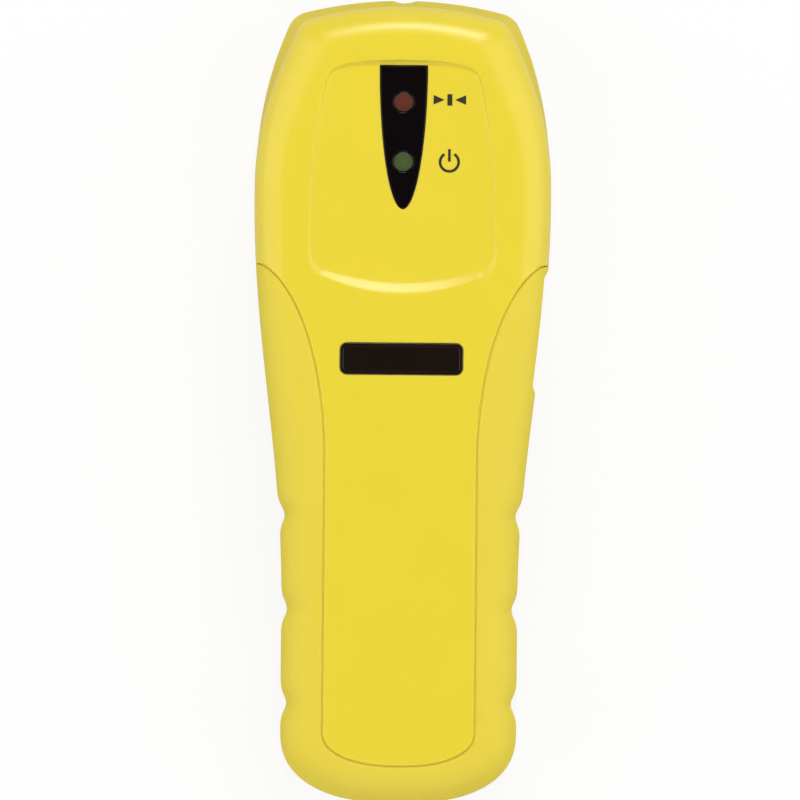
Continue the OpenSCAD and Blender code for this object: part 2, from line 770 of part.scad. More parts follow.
module led(y) {
    dome_h = led_d / 4;
    ball_r = led_d * led_d / 8 / dome_h + dome_h / 2;
    translate([0, y, led_foot_z]) {
        cylinder(d = led_rim_d, h = led_rim_h);
        cylinder(d = led_d, h = led_h - dome_h);
        intersection() {
            translate([0, 0, led_h - ball_r]) sphere(r = ball_r);
            translate([0, 0, led_h - dome_h - weld]) cylinder(d = led_d, h = dome_h + 2 * weld);
        }
        for (sx = [-1, 1])
            translate([sx * led_lead_pitch / 2, 0, board_top_z - led_foot_z])
                cylinder(d = led_lead_d, h = led_foot_z - board_top_z + weld);
    }
}

module red_edge_led() { color("#b4382a") led(red_y); }
module green_power_led() { color("#4a8a3c") led(green_y); }

module led_spacer() {
    h = led_foot_z - board_top_z;
    color("#2b2b2d")
        difference() {
            translate([0, 0, board_top_z]) {
                for (y = [red_y, green_y]) translate([0, y, 0]) cylinder(d = spacer_d, h = h);
                translate([-spacer_web / 2, green_y, 0]) cube([spacer_web, led_pitch, h]);
            }
            for (y = [red_y, green_y], sx = [-1, 1])
                translate([sx * led_lead_pitch / 2, y, board_top_z - over])
                    cylinder(d = led_lead_d + 2 * led_clear, h = h + 2 * over);
        }
}

module badge_plate() {
    color("#191412")
        translate([0, badge_y, body_h - badge_pocket])
            rounded_plate(badge_w, badge_l, badge_pocket + badge_proud, badge_r);
}

module activation_button() {
    rim_out = wall + button_clear;
    rim_in = rim_out + button_rim_t;
    rim_half = button_h / 2 + button_rim;
    tip_x = switch_x + plunger_out + plunger_clear;
    color("#d9c23c") {
        intersection() {
            wall_strip(pocket_depth + button_sink, rim_in - weld, button_len,
                       button_z - button_h / 2, button_z + button_h / 2);
            side_bar(button_len, button_h, button_r);
        }
        wall_strip(rim_out, rim_in, button_len + 2 * button_rim, button_z - rim_half, button_z + rim_half);
        translate([tip_x, button_y - button_rib / 2, plunger_z - button_rib / 2])
            cube([side_half(button_y) - rim_in - tip_x + weld, button_rib, button_rib]);
    }
}

// Face of the switch that looks at the button
button_back_x = side_half(button_y) - wall - button_clear - button_rim_t;
switch_x = button_back_x - button_rib_len - button_travel - plunger_out;
plunger_z = board_top_z + plunger_rise;

module switch_body() {
    color("#242426")
        difference() {
            translate([switch_x - switch_t, button_y - switch_w / 2, board_top_z])
                cube([switch_t, switch_w, switch_h]);
            translate([switch_x - plunger_in - button_travel - plunger_clear, button_y, plunger_z])
                rotate([0, 90, 0]) cylinder(d = plunger_d + 2 * plunger_clear, h = switch_t);
        }
}

module switch_plunger() {
    color("#e6e4dc")
        translate([switch_x - plunger_in, button_y, plunger_z])
            rotate([0, 90, 0]) cylinder(d = plunger_d, h = plunger_in + plunger_out);
}

module sensor_board() {
    color("#2f6b3c")
        difference() {
            translate([0, 0, board_z])
                linear_extrude(board_t)
                    polygon([
                        [board_half, board_low_y], [board_half, board_shoulder_y],
                        [board_neck_w / 2, board_shoulder_y], [board_neck_w / 2, board_top_y],
                        [-board_neck_w / 2, board_top_y], [-board_neck_w / 2, board_shoulder_y],
                        [-board_half, board_shoulder_y], [-board_half, board_low_y]]);
            screw_bores(board_screw_d + 2 * screw_pass, board_z - over, board_top_z + over, board_posts);
        }
}

module sensor_electrodes() {
    side_w = board_half - 2 * plate_gap - plate_w / 2;
    y0 = board_low_y + plate_gap;
    color("#b8733a")
        translate([0, y0, board_z - plate_t]) {
            translate([-plate_w / 2, 0, 0]) cube([plate_w, plate_len, plate_t]);
            for (sx = [-1, 1])
                translate([sx * (plate_w / 2 + plate_gap + side_w / 2) - side_w / 2, 0, 0])
                    cube([side_w, plate_len, plate_t]);
        }
}

module controller_chip() {
    leg_w = 0.4;
    leg_t = 0.3;
    stand = 0.1;
    color("#1d1d1f")
        translate([chip_x, board_low_y + chip_up, board_top_z]) {
            translate([-chip_w / 2, -chip_len / 2, stand]) cube([chip_w, chip_len, chip_t]);
            for (sx = [-1, 1], k = [0 : chip_legs - 1])
                translate([sx * (chip_w + chip_leg) / 2, (k - (chip_legs - 1) / 2) * chip_pitch, leg_t / 2])
                    cube([chip_leg + 2 * stand, leg_w, leg_t], center = true);
        }
}

module filter_capacitor() {
    vent = 0.5;
    vent_len = cap_d * 0.6;
    color("#27324a")
        translate([board_half - cap_in, board_shoulder_y - cap_down, board_top_z])
            difference() {
                cylinder(d = cap_d, h = cap_h);
                for (a = [0, 90])
                    translate([0, 0, cap_h]) rotate(a) cube([vent_len, vent, vent], center = true);
            }
}

module surface_mount_parts() {
    part = [chip_part_len, chip_part_len * 0.6, chip_part_len * 0.35];
    columns = 4;
    rows = 3;
    color("#8a7b66")
        for (col = [0 : columns - 1], row = [0 : rows - 1])
            translate([-board_half + board_screw_in + col * chip_part_pitch,
                       board_low_y + board_screw_in + row * chip_part_pitch, board_top_z])
                cube(part);
}

module piezo_buzzer() {
    color("#1b1b1c")
        translate([buzzer_in - board_half, board_low_y + buzzer_up, board_top_z])
            difference() {
                cylinder(d = buzzer_d, h = buzzer_h);
                translate([0, 0, buzzer_h - buzzer_hole_d])
                    cylinder(d = buzzer_hole_d, h = buzzer_hole_d + over);
            }
}

module screw(d, head_d, head_h, len, slot) {
    slot_len = head_d * 0.6;
    slot_depth = head_h * 0.45;
    difference() {
        union() {
            cylinder(d = head_d, h = head_h);
            translate([0, 0, -len]) cylinder(d = d, h = len + weld);
        }
        for (a = [0, 90])
            rotate(a) translate([0, 0, head_h]) cube([slot_len, slot, 2 * slot_depth], center = true);
    }
}

module case_screws() {
    color("#9a9ca0")
        for (p = screw_places)
            translate([p.x, p.y, screw_seat_z])
                mirror([0, 0, 1]) screw(screw_d, screw_head_d, screw_head_h, screw_len, screw_slot);
}

module board_screws() {
    color("#b4b5b8")
        for (p = board_posts)
            translate([p.x, p.y, board_top_z])
                screw(board_screw_d, board_head_d, board_head_h, board_screw_len, screw_slot);
}

module battery_can() {
    color("#3a3d42")
        translate([0, battery_top_y, battery_mid_z])
            rotate([90, 0, 0]) rounded_plate(battery_w, battery_t, battery_len, battery_r);
}

module tube_y(d, bore, h) {
    rotate([-90, 0, 0])
        difference() {
            cylinder(d = d, h = h);
            if (bore > 0) translate([0, 0, -over]) cylinder(d = bore, h = h + 2 * over);
        }
}

module battery_terminals() {
    color("#c4c6c8") {
        translate([terminal_pitch / 2, battery_top_y, battery_mid_z]) tube_y(stud_d, 0, terminal_h);
        translate([-terminal_pitch / 2, battery_top_y, battery_mid_z])
            tube_y(socket_d, stud_d + 2 * snap_clear, terminal_h);
    }
}

module snap_contacts() {
    back = snap_y - snap_clear;
    color("#c9cbcd") {
        translate([terminal_pitch / 2, back - terminal_h + 2 * snap_clear, battery_mid_z])
            tube_y(socket_d, stud_d + 2 * snap_clear, terminal_h - snap_clear);
        translate([-terminal_pitch / 2, back - terminal_h + 2 * snap_clear, battery_mid_z])
            tube_y(stud_d, 0, terminal_h - snap_clear);
    }
}

module snap_connector() {
    color("#1f1f21")
        translate([0, snap_y + snap_t, battery_mid_z])
            rotate([90, 0, 0]) rounded_plate(snap_w, snap_h, snap_t, snap_r);
}

// A round lead along a curve with four handles, square to what it meets at both ends
function unit(v) = v / norm(v);
function curve(h, t) =
    let (s = 1 - t)
    s * s * s * h[0] + 3 * s * s * t * h[1] + 3 * s * t * t * h[2] + t * t * t * h[3];
function curve_way(h, t) =
    let (s = 1 - t)
    unit(s * s * (h[1] - h[0]) + 2 * s * t * (h[2] - h[1]) + t * t * (h[3] - h[2]));
function lead_ring(h, t, r) =
    let (way = curve_way(h, t),
         u = unit(cross(way, [1, 0, 0])),
         v = cross(way, u),
         sides = 8)
    [for (k = [0 : sides - 1]) curve(h, t) + r * (cos(360 * k / sides) * u + sin(360 * k / sides) * v)];
module lead(x) {
    steps = 16;
    from = [x, snap_y + snap_t, battery_mid_z];
    to = [x, board_low_y + lead_in, board_top_z];
    reach = (to.y - from.y) / 2;
    handles = [from, from + [0, reach, 0], to + [0, 0, lead_rise], to];
    ring_solid([for (k = [0 : steps]) lead_ring(handles, k / steps, lead_d / 2)]);
}
module positive_lead() { color("#b5261e") lead(lead_x); }
module negative_lead() { color("#19191b") lead(-lead_x); }

// Outline of a door plate, with its open end following the tail
module door_outline(half, back) {
    steps = 10;
    depth = tail_len - back;
    reach = side_half(tail_y) - back;
    polygon(concat(
        [[half, door_start_y], [-half, door_start_y]],
        [for (k = [-steps : steps])
            let (x = half * k / steps)
            [x, tail_y - depth * pow(1 - pow(abs(x) / reach, tail_square), 1 / tail_square)]]));
}

module battery_door() {
    color("#ecd64a")
        difference() {
            union() {
                translate([0, 0, door_sink]) linear_extrude(door_t + door_clear + weld)
                    door_outline(door_half, door_inset);
                translate([0, 0, door_sink + door_t + door_clear]) linear_extrude(door_rim_t)
                    door_outline(door_rim_half, door_inset / 2);
            }
            for (k = [0 : groove_count - 1])
                translate([-groove_w / 2, y_tail + groove_start + k * groove_pitch, door_sink - over])
                    cube([groove_w, groove_pitch / 2, groove_depth + over]);
        }
}

rear_shell();
front_shell();
activation_button();
display_lens();
red_edge_led();
green_power_led();
led_spacer();
badge_plate();
battery_door();
case_screws();
sensor_board();
sensor_electrodes();
controller_chip();
filter_capacitor();
surface_mount_parts();
piezo_buzzer();
switch_body();
switch_plunger();
board_screws();
battery_can();
battery_terminals();
snap_connector();
snap_contacts();
positive_lead();
negative_lead();
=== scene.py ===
import math
from collections import namedtuple

import bmesh
import bpy
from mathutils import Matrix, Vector
from mathutils.geometry import delaunay_2d_cdt


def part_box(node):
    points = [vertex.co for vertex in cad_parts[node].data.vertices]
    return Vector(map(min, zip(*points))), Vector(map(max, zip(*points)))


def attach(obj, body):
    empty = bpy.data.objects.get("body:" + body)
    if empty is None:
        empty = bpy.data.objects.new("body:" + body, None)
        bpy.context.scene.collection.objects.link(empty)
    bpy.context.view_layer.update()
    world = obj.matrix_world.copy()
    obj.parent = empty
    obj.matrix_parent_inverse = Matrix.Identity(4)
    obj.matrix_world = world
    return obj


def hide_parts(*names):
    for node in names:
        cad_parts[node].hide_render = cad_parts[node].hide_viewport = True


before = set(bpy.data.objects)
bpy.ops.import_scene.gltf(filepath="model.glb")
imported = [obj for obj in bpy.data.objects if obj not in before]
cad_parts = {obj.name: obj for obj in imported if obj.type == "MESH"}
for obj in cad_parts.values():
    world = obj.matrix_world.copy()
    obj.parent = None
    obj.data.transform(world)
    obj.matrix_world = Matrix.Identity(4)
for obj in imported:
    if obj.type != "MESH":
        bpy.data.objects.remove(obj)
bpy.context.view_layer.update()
MM = 0.001

# Sizes of the part, in millimetres, as its source gives them
BODY_LEN = 160.6
HEAD_W = 59.2
GRIP_W = 47.1
BODY_H = 31.0
WALL = 2.2
BACK_ROUND = 1.6
PART_Z = 10.0
ROUND_H = 6.5
SEAM_GAP = 0.3
TOP_W = 46.2
CORNER_DROP = 5.3
CORNER_RUN = 3.0
TOP_RADIUS = 80.0
HEAD_DROP = 40.0
HEAD_CURVE = 2.35
TOP_FLARE = 1.6
FLARE_LEN = 36.0
HEAD_ROUND = 6.3
NOTCH_W = 4.8
NOTCH_DEPTH = 0.7
WAIST_LEN = 80.0
SCALLOPS = 3
SCALLOP_PITCH = 18.8
SCALLOP_START = 19.9
SCALLOP_DEPTH = 1.15
SCALLOP_RUN = 2.2
GRIP_ROUND = 8.0
TAIL_LEN = 14.4
TAIL_SQUARE = 2.4
TONGUE_W = 30.7
TONGUE_END = 7.3
SHOULDER_DROP = 52.7
SHOULDER_LEN = 39.6
SHOULDER_W = 16.0
SEAM_FALL = 6.0
PANEL_W = 34.8
PANEL_SPREAD = 1.6
PANEL_DROP = 12.9
PANEL_LEN = 43.2
PANEL_DEPTH = 1.0
PANEL_SAG = 2.8
PANEL_SLOPE = 2.4
PANEL_TAPER = 0.45
PANEL_CORNER = 4.0
LENS_W = 9.3
LENS_LEN = 28.4
LENS_DROP = 13.5
LENS_PROUD = 0.15
LENS_RIM = 1.3
LENS_RIM_T = 1.0
LENS_CLEAR = 0.15
LED_D = 3.9
LED_H = 5.3
LED_RIM_D = 4.8
LED_RIM_H = 1.0
LED_LEAD_D = 0.5
LED_LEAD_PITCH = 2.54
LED_CLEAR = 0.15
RED_DROP = 20.7
LED_PITCH = 11.9
BADGE_W = 24.4
BADGE_L = 6.2
BADGE_R = 1.4
BADGE_DROP = 71.9
BADGE_POCKET = 0.6
BADGE_PROUD = 0.15
BADGE_CLEAR = 0.12
BUTTON_LEN = 21.0
BUTTON_H = 11.0
BUTTON_DROP = 66.3
BUTTON_Z = 13.6
BUTTON_R = 2.5
BUTTON_CLEAR = 0.3
BUTTON_RIM = 1.2
BUTTON_RIM_T = 1.2
BUTTON_RIB = 4.0
BUTTON_SINK = 0.05
POCKET_DEPTH = 0.7
PLUNGER_Z = 11.2
SCREW_D = 3.0
SCREW_HEAD_R = 2.9
SCREW_HOLE_R = 1.7
SCREW_SEAT_Z = 6.0
BOSS_TOP_Z = 9.0
BOSS_WALL = 1.4
SCREW_TOP = (17.0, 66.0)
SCREW_LOW = (11.0, -18.0)
POST_R = 2.8
POST_TOP_Z = 4.6
POST_PLACES = ((18.57, 42.3), (7.5, 70.3))
BATTERY_W = 26.5
BATTERY_LEN = 46.4
BATTERY_T = 17.5
BATTERY_R = 2.0
BATTERY_START = 4.7
BATTERY_CLEAR = 0.4
DOOR_T = 2.0
DOOR_RIM_T = 1.1
DOOR_RIM = 1.5
DOOR_CLEAR = 0.3
DOOR_SINK = 0.2
DOOR_LEN = 56.0
DOOR_INSET = 1.2
TRACK_WALL = 1.8
CRADLE_H = 16.0
GROOVES = 5
GROOVE_PITCH = 2.4
GROOVE_DEPTH = 0.6
GROOVE_W = 16.4
GROOVE_START = 12.0

# Places that follow from those sizes
Y_TOP = BODY_LEN / 2
Y_TAIL = -BODY_LEN / 2
CORNER_Y = Y_TOP - CORNER_DROP
HEAD_Y = Y_TOP - HEAD_DROP
SHOULDER_Y = Y_TOP - SHOULDER_DROP
TONGUE_FOOT_Y = SHOULDER_Y - SHOULDER_LEN
TAIL_Y = Y_TAIL + TAIL_LEN
EDGE_Z = BODY_H - ROUND_H
PANEL_Z = BODY_H - PANEL_DEPTH
PANEL_TOP_Y = Y_TOP - PANEL_DROP
LENS_TOP_Y = Y_TOP - LENS_DROP
LENS_Z = PANEL_Z + LENS_PROUD
FRONT_IN_Z = BODY_H - WALL
RED_Y = Y_TOP - RED_DROP
GREEN_Y = RED_Y - LED_PITCH
BADGE_Y = Y_TOP - BADGE_DROP
BUTTON_Y = Y_TOP - BUTTON_DROP
CRADLE_HALF = BATTERY_W / 2 + BATTERY_CLEAR
DOOR_RIM_HALF = CRADLE_HALF + DOOR_RIM
DOOR_HALF = DOOR_RIM_HALF - DOOR_RIM
DOOR_TOP_Z = DOOR_SINK + DOOR_T + DOOR_CLEAR + DOOR_RIM_T

# Finer forms than the source has: the rounded edges of the seam, of the window, of the plate and of the
# openings for both, the slope at the ends of the button's flat, the share of the panel's wall that its
# soft ends take, the rise of its floor, the foot and top of its upper and side walls, the arch of its
# upper end, the lean of its sides there, and the rounding between the two
LIP = 0.3
LENS_EDGE = 0.12
BADGE_EDGE = 0.12
SLOT_EDGE = 0.15
POCKET_RUN = 1.5
PANEL_SOFT = 0.2
PANEL_RISE = 0.6
PANEL_UPPER_WALL = -0.1, 0.8
PANEL_SIDE_WALL = 0.25, 0.75
PANEL_ARCH = 2.0
PANEL_ARCH_REACH = 15.0
PANEL_LEAN = 3.4
PANEL_LEAN_LEN = 28.0
PANEL_NOOK = 2.4

# How far one body of a piece runs into the next, and how far a cutter reaches past what it cuts
WELD = 0.2
POST_WELD = 0.4
BOSS_WELD = 0.8
OVER = 1.0

# Steps along the right half of the outline
TOP_STEPS = 26
CORNER_STEPS = 12
HEAD_STEPS = 40
SEAM_STEPS = 48
WAIST_STEPS = 44
GRIP_STEPS = 100
TAIL_STEPS = 44

# A seam that runs almost straight up the wall is cut at most so many times wider
MOST_LEAN = 5.0
# Faces that meet at more than so many degrees keep a sharp edge
SHARP_EDGE = 32
# Points nearer than this are one point, in millimetres in plan and in metres in a mesh
SAME_PLAN = 1e-5
SAME_POINT = 1e-7


def lerp(a, b, t):
    return a + (b - a) * t


def clamp01(t):
    return min(1.0, max(0.0, t))


def smooth(t):
    c = clamp01(t)
    return c * c * (3 - 2 * c)


def shares(steps, first=0):
    """Even steps up to 1, from 0 or from a later step."""
    return [k / steps for k in range(first, steps + 1)]


def quarter(steps, first=0):
    """Even steps of a quarter turn."""
    return [math.pi / 2 * t for t in shares(steps, first)]


# The outline of the body, and the wall that stands on it, as in the part's source
def side_half(y):
    if y > HEAD_Y:
        rise = (y - HEAD_Y) / (CORNER_Y - HEAD_Y)
        return HEAD_W / 2 - (HEAD_W - TOP_W) / 2 * rise ** HEAD_CURVE
    fall = clamp01((HEAD_Y - y) / WAIST_LEN)
    return lerp(GRIP_W, HEAD_W, (1 + math.cos(math.pi * fall)) / 2) / 2


def scallop_cut(y):
    places = (Y_TAIL + SCALLOP_START + i * SCALLOP_PITCH for i in range(SCALLOPS))
    return sum(SCALLOP_DEPTH * math.exp(-((y - p) / SCALLOP_RUN) ** 2) for p in places)


def top_edge(x):
    return Y_TOP - TOP_RADIUS + math.sqrt(TOP_RADIUS ** 2 - x * x)


def edge_round(y):
    return lerp(HEAD_ROUND, GRIP_ROUND, smooth((SHOULDER_Y - y) / SHOULDER_LEN))


def flare(y):
    return TOP_FLARE * smooth((y - Y_TOP + FLARE_LEN) / (FLARE_LEN - CORNER_DROP))


def pull_y(y):
    return clamp01((y - HEAD_Y + HEAD_DROP / 4) / (CORNER_Y - HEAD_Y + HEAD_DROP / 4))


def tongue_half(y):
    if y < TONGUE_FOOT_Y:
        return TONGUE_W / 2
    turn = clamp01((y - TONGUE_FOOT_Y) / SHOULDER_LEN)
    return TONGUE_W / 2 + SHOULDER_W * (1 - math.sqrt(1 - turn * turn))


def seam_at(d, r):
    return 2 + math.degrees(math.acos(1 - max(0.0, d) / r)) / 90 if d < r else 3 + d - r


def seam(y):
    if y > SHOULDER_Y:
        return 1 + (1 - clamp01((y - SHOULDER_Y) / SEAM_FALL)) ** 2
    return seam_at(side_half(y) - tongue_half(y), edge_round(y))


def seam_y(place, low, high):
    """The y at which the seam crosses a place on the wall, found by halving."""
    for _ in range(40):
        mid = (low + high) / 2
        low, high = (mid, high) if seam(mid) > place else (low, mid)
    return (low + high) / 2


Station = namedtuple("Station", "x y pull_x pull_y scallop flare round seam")
CORNER_X = side_half(CORNER_Y)


def top_station(x, y):
    return Station(x, y, x / CORNER_X, 1, 0, TOP_FLARE, HEAD_ROUND, 1)


def side_station(y):
    return Station(side_half(y), y, 1, pull_y(y), scallop_cut(y), flare(y), edge_round(y), seam(y))


def tail_station(a):
    c = max(0.0, math.cos(a)) ** (2 / TAIL_SQUARE)
    s = math.sin(a) ** (2 / TAIL_SQUARE)
    half = side_half(TAIL_Y)
    d = lerp(half - TONGUE_W / 2, TONGUE_END, math.sin(a) ** 2)
    return Station(half * c, TAIL_Y - TAIL_LEN * s, c, -s, 0, 0, GRIP_ROUND, seam_at(d, GRIP_ROUND))


def right_stations():
    """The right half of the outline, from the middle of the marking end to the middle of the tail."""
    low_seam = seam_y(3, TONGUE_FOOT_Y, SHOULDER_Y)
    seam_top = SHOULDER_Y + SEAM_FALL
    scallop_top = Y_TAIL + SCALLOP_START + (SCALLOPS - 1) * SCALLOP_PITCH + 3 * SCALLOP_RUN
    start_x = CORNER_X - CORNER_RUN
    lean = side_half(CORNER_Y - 1) - CORNER_X
    tip = Vector((CORNER_X - lean * (top_edge(CORNER_X) - CORNER_Y), top_edge(CORNER_X)))
    corner = (Vector((start_x, top_edge(start_x))), tip, Vector((CORNER_X, CORNER_Y)))
    stations = [top_station(start_x * t, top_edge(start_x * t)) for t in shares(TOP_STEPS)]
    for t in shares(CORNER_STEPS, 1)[:-1]:
        p = corner[0].lerp(tip, t).lerp(tip.lerp(corner[2], t), t)
        stations.append(top_station(p.x, p.y))
    stations += [side_station(lerp(CORNER_Y, seam_top, t)) for t in shares(HEAD_STEPS)]
    stations += [side_station(seam_y(1 + 2 * t, TONGUE_FOOT_Y, seam_top)) for t in shares(SEAM_STEPS, 1)]
    stations += [side_station(lerp(low_seam, scallop_top, t)) for t in shares(WAIST_STEPS, 1)]
    stations += [side_station(lerp(scallop_top, TAIL_Y, t)) for t in shares(GRIP_STEPS, 1)]
    stations += [tail_station(a) for a in quarter(TAIL_STEPS, 1)]
    return stations


def wall_at(s, place):
    """Inset, height, inward in plan and inward in height at a place on the wall over a station."""
    if place < 1:
        return s.flare * place, lerp(BACK_ROUND, PART_Z, place), 1, 0
    if place < 2:
        return s.flare, lerp(PART_Z, EDGE_Z, place - 1), 1, 0
    a = math.pi / 2 * clamp01(place - 2)
    u, w = math.cos(a) / s.round, -math.sin(a) / ROUND_H
    size = math.hypot(u, w)
    across = s.flare + s.round * (1 - math.cos(a)) + max(0.0, place - 3)
    return across, EDGE_Z + ROUND_H * math.sin(a), u / size, w / size


def inset(s, d, z):
    """A point over a station, moved in by d. The scallops fade out on the way in."""
    fade = clamp01(1 - d / GRIP_ROUND)
    return (s.x - s.scallop * fade - d * s.pull_x, s.y - d * s.pull_y, z)


def wall_lengths(s):
    """Lengths of the wall under the parting line, over it, and round its upper edge."""
    return PART_Z - BACK_ROUND, EDGE_Z - PART_Z, (s.round + ROUND_H) * math.pi / 4


def way_up(s, place):
    """Millimetres along the wall from the rounding of the back to a place on it."""
    low, upper, turn = wall_lengths(s)
    wall = low * clamp01(place) + upper * clamp01(place - 1)
    return wall + turn * clamp01(place - 2) + max(0.0, place - 3)


def place_of(s, way):
    """The place on the wall that is so many millimetres up it."""
    low, upper, turn = wall_lengths(s)
    if way < low:
        return way / low
    if way < low + upper:
        return 1 + (way - low) / upper
    if way < low + upper + turn:
        return 2 + (way - low - upper) / turn
    return 3 + way - low - upper - turn


def on_wall(s, way, depth):
    """A point a way up the wall over a station and a depth under its face."""
    across, z, u, w = wall_at(s, place_of(s, way))
    return inset(s, across + depth * u, z + depth * w)


STATIONS = right_stations()
LAST = len(STATIONS) - 1


def seam_leans():
    """How much wider a cut along the wall has to be where the seam runs up it."""
    leans = []
    for i, s in enumerate(STATIONS):
        a, b = STATIONS[max(0, i - 1)], STATIONS[min(LAST, i + 1)]
        run = math.hypot(a.x - b.x, a.y - b.y)
        rise = way_up(a, a.seam) - way_up(b, b.seam)
        leans.append(min(MOST_LEAN, math.hypot(1, rise / run)))
    return leans


LEANS = seam_leans()


def mirrored(half):
    """A closed loop from its right half, whose ends lie on the middle."""
    return half + [(-p[0],) + tuple(p[1:]) for p in half[-2:0:-1]]


def wall_ring(way_of, depth_of):
    """A ring round the body: way_of and depth_of give its place on the wall over each station."""
    return mirrored([on_wall(s, way_of(s, i), depth_of(s, i)) for i, s in enumerate(STATIONS)])


def ring_faces(count, first, second):
    return [(first + i, first + (i + 1) % count, second + (i + 1) % count, second + i)
            for i in range(count)]


def skin(rings):
    """Points and faces of a skin through rings of points, each ring as long as the first."""
    count = len(rings[0])
    points = [p for ring in rings for p in ring]
    faces = []
    for k in range(len(rings) - 1):
        faces += ring_faces(count, k * count, (k + 1) * count)
    return points, faces


def in_plan(loop):
    return [(p[0], p[1]) for p in loop]


def inside(point, loop):
    x, y = point
    hit = False
    for (ax, ay), (bx, by) in zip(loop, loop[1:] + loop[:1]):
        if (ay > y) != (by > y) and x < ax + (y - ay) * (bx - ax) / (by - ay):
            hit = not hit
    return hit


def filled(outer, lines=(), holes=(), points=()):
    """Triangles over the loop outer, with the loops lines kept as edges and the loops holes left open.

    Returns index triples into the points of outer, lines, holes and points, one after the other."""
    flat, edges = [], []
    for loop in (outer, *lines, *holes):
        start = len(flat)
        edges += [(start + i, start + (i + 1) % len(loop)) for i in range(len(loop))]
        flat += [Vector(p) for p in in_plan(loop)]
    flat += [Vector(p) for p in in_plan(points)]
    made = delaunay_2d_cdt(flat, edges, [], 0, SAME_PLAN)
    old = [ids[0] if ids else None for ids in made[3]]
    triangles = []
    outline = in_plan(outer)
    openings = [in_plan(hole) for hole in holes]
    for face in made[2]:
        ids = [old[i] for i in face]
        if None in ids:
            continue
        mid = sum((flat[i] for i in ids), Vector((0, 0))) / len(ids)
        if inside(mid, outline) and not any(inside(mid, hole) for hole in openings):
            triangles.append(tuple(ids))
    return triangles


def object_of(name, points, faces, turn_out=True):
    mesh = bpy.data.meshes.new(name)
    mesh.from_pydata([Vector(p[:3]) * MM for p in points], [], faces)
    if turn_out:
        work = bmesh.new()
        work.from_mesh(mesh)
        bmesh.ops.remove_doubles(work, verts=work.verts, dist=SAME_POINT)
        bmesh.ops.recalc_face_normals(work, faces=work.faces)
        work.to_mesh(mesh)
        work.free()
    piece = bpy.data.objects.new(name, mesh)
    bpy.context.collection.objects.link(piece)
    return piece


def finished(piece, material, body="housing", replaces=None):
    """Smooth shading up to an angle, a material, and the body that the piece rides on."""
    mesh = piece.data
    mesh.polygons.foreach_set("use_smooth", [True] * len(mesh.polygons))
    mesh.set_sharp_from_angle(angle=math.radians(SHARP_EDGE))
    mesh.materials.clear()
    mesh.materials.append(material)
    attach(piece, body)
    if replaces:
        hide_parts(replaces)
    return piece


def joined(piece, *others):
    """Adds the meshes of the other objects to the piece, and removes those objects."""
    work = bmesh.new()
    work.from_mesh(piece.data)
    for other in others:
        work.from_mesh(other.data)
        bpy.data.objects.remove(other)
    work.to_mesh(piece.data)
    work.free()
    return piece


def cut(piece, *cutters):
    """The piece without the space of the cutters, which are removed."""
    for cutter in cutters:
        tool = piece.modifiers.new("cut", "BOOLEAN")
        tool.operation = "DIFFERENCE"
        tool.solver = "EXACT"
        tool.object = cutter
    bpy.context.view_layer.update()
    shaped = piece.evaluated_get(bpy.context.evaluated_depsgraph_get())
    mesh = bpy.data.meshes.new_from_object(shaped)
    piece.modifiers.clear()
    piece.data = mesh
    for cutter in cutters:
        bpy.data.objects.remove(cutter)
    return piece


def block(low, high):
    (x0, y0, z0), (x1, y1, z1) = low, high
    points = [(x, y, z) for z in (z0, z1) for x, y in ((x0, y0), (x1, y0), (x1, y1), (x0, y1))]
    return object_of("block", points, [(3, 2, 1, 0), (4, 5, 6, 7)] + ring_faces(4, 0, 4))


def stack(name, rings, caps=True):
    """A closed solid through rings of points, each ring as long as the first."""
    points, faces = skin(rings)
    if caps:
        count = len(rings[0])
        faces += [tuple(range(count)), tuple(range(len(points) - count, len(points)))]
    return object_of(name, points, faces)


def upright(loop, z):
    return [(x, y, z) for x, y in loop]


def circle(x, y, r, steps=48):
    turns = (2 * math.pi * k / steps for k in range(steps))
    return [(x + r * math.cos(a), y + r * math.sin(a)) for a in turns]


def lathe(name, profile, x, y):
    """A closed ring turned about an upright axis from a closed profile of (radius, height)."""
    return stack(name, [upright(circle(x, y, r), z) for r, z in profile + profile[:1]], caps=False)


def rod(x, y, r, z0, z1):
    return stack("rod", [upright(circle(x, y, r), z) for z in (z0, z1)])


def rounded_box(w, l, r, steps=10):
    """Outline of a rounded rectangle about the origin."""
    loop = []
    for turn, (sx, sy) in enumerate(((1, 1), (-1, 1), (-1, -1), (1, -1))):
        for a in quarter(steps):
            a += math.pi / 2 * turn
            loop.append((sx * (w / 2 - r) + r * math.cos(a), sy * (l / 2 - r) + r * math.sin(a)))
    return loop


def plate(name, outline, profile, holes=()):
    """A closed plate: outline(shrink) and hole(grow) give loops, profile lists (shrink, z) upwards."""
    walls = [[upright(outline(shrink), z) for shrink, z in profile]]
    walls += [[upright(hole(max(0.0, shrink)), z) for shrink, z in profile] for hole in holes]
    points, faces, ends = [], [], ([], [])
    for rings in walls:
        start, count = len(points), len(rings[0])
        wall_points, wall_faces = skin(rings)
        points += wall_points
        faces += [tuple(start + i for i in face) for face in wall_faces]
        ends[0].append((start, rings[0]))
        ends[1].append((len(points) - count, rings[-1]))
    for loops in ends:
        ids = [start + i for start, ring in loops for i in range(len(ring))]
        rings = [ring for _, ring in loops]
        faces += [tuple(ids[i] for i in t) for t in filled(rings[0], holes=rings[1:])]
    return object_of(name, points, faces)


def rounded_profile(z0, z1, edge, low_edge=0.0, steps=4):
    """Profile of a plate from z0 to z1 with its edges rounded, or sharp where the rounding is 0."""
    low = [(low_edge * (1 - math.sin(a)), z0 + low_edge * (1 - math.cos(a))) for a in quarter(steps)]
    top = [(edge * (1 - math.cos(a)), z1 - edge * (1 - math.sin(a))) for a in quarter(steps)]
    return (low if low_edge else [(0.0, z0)]) + (top if edge else [(0.0, z1)])


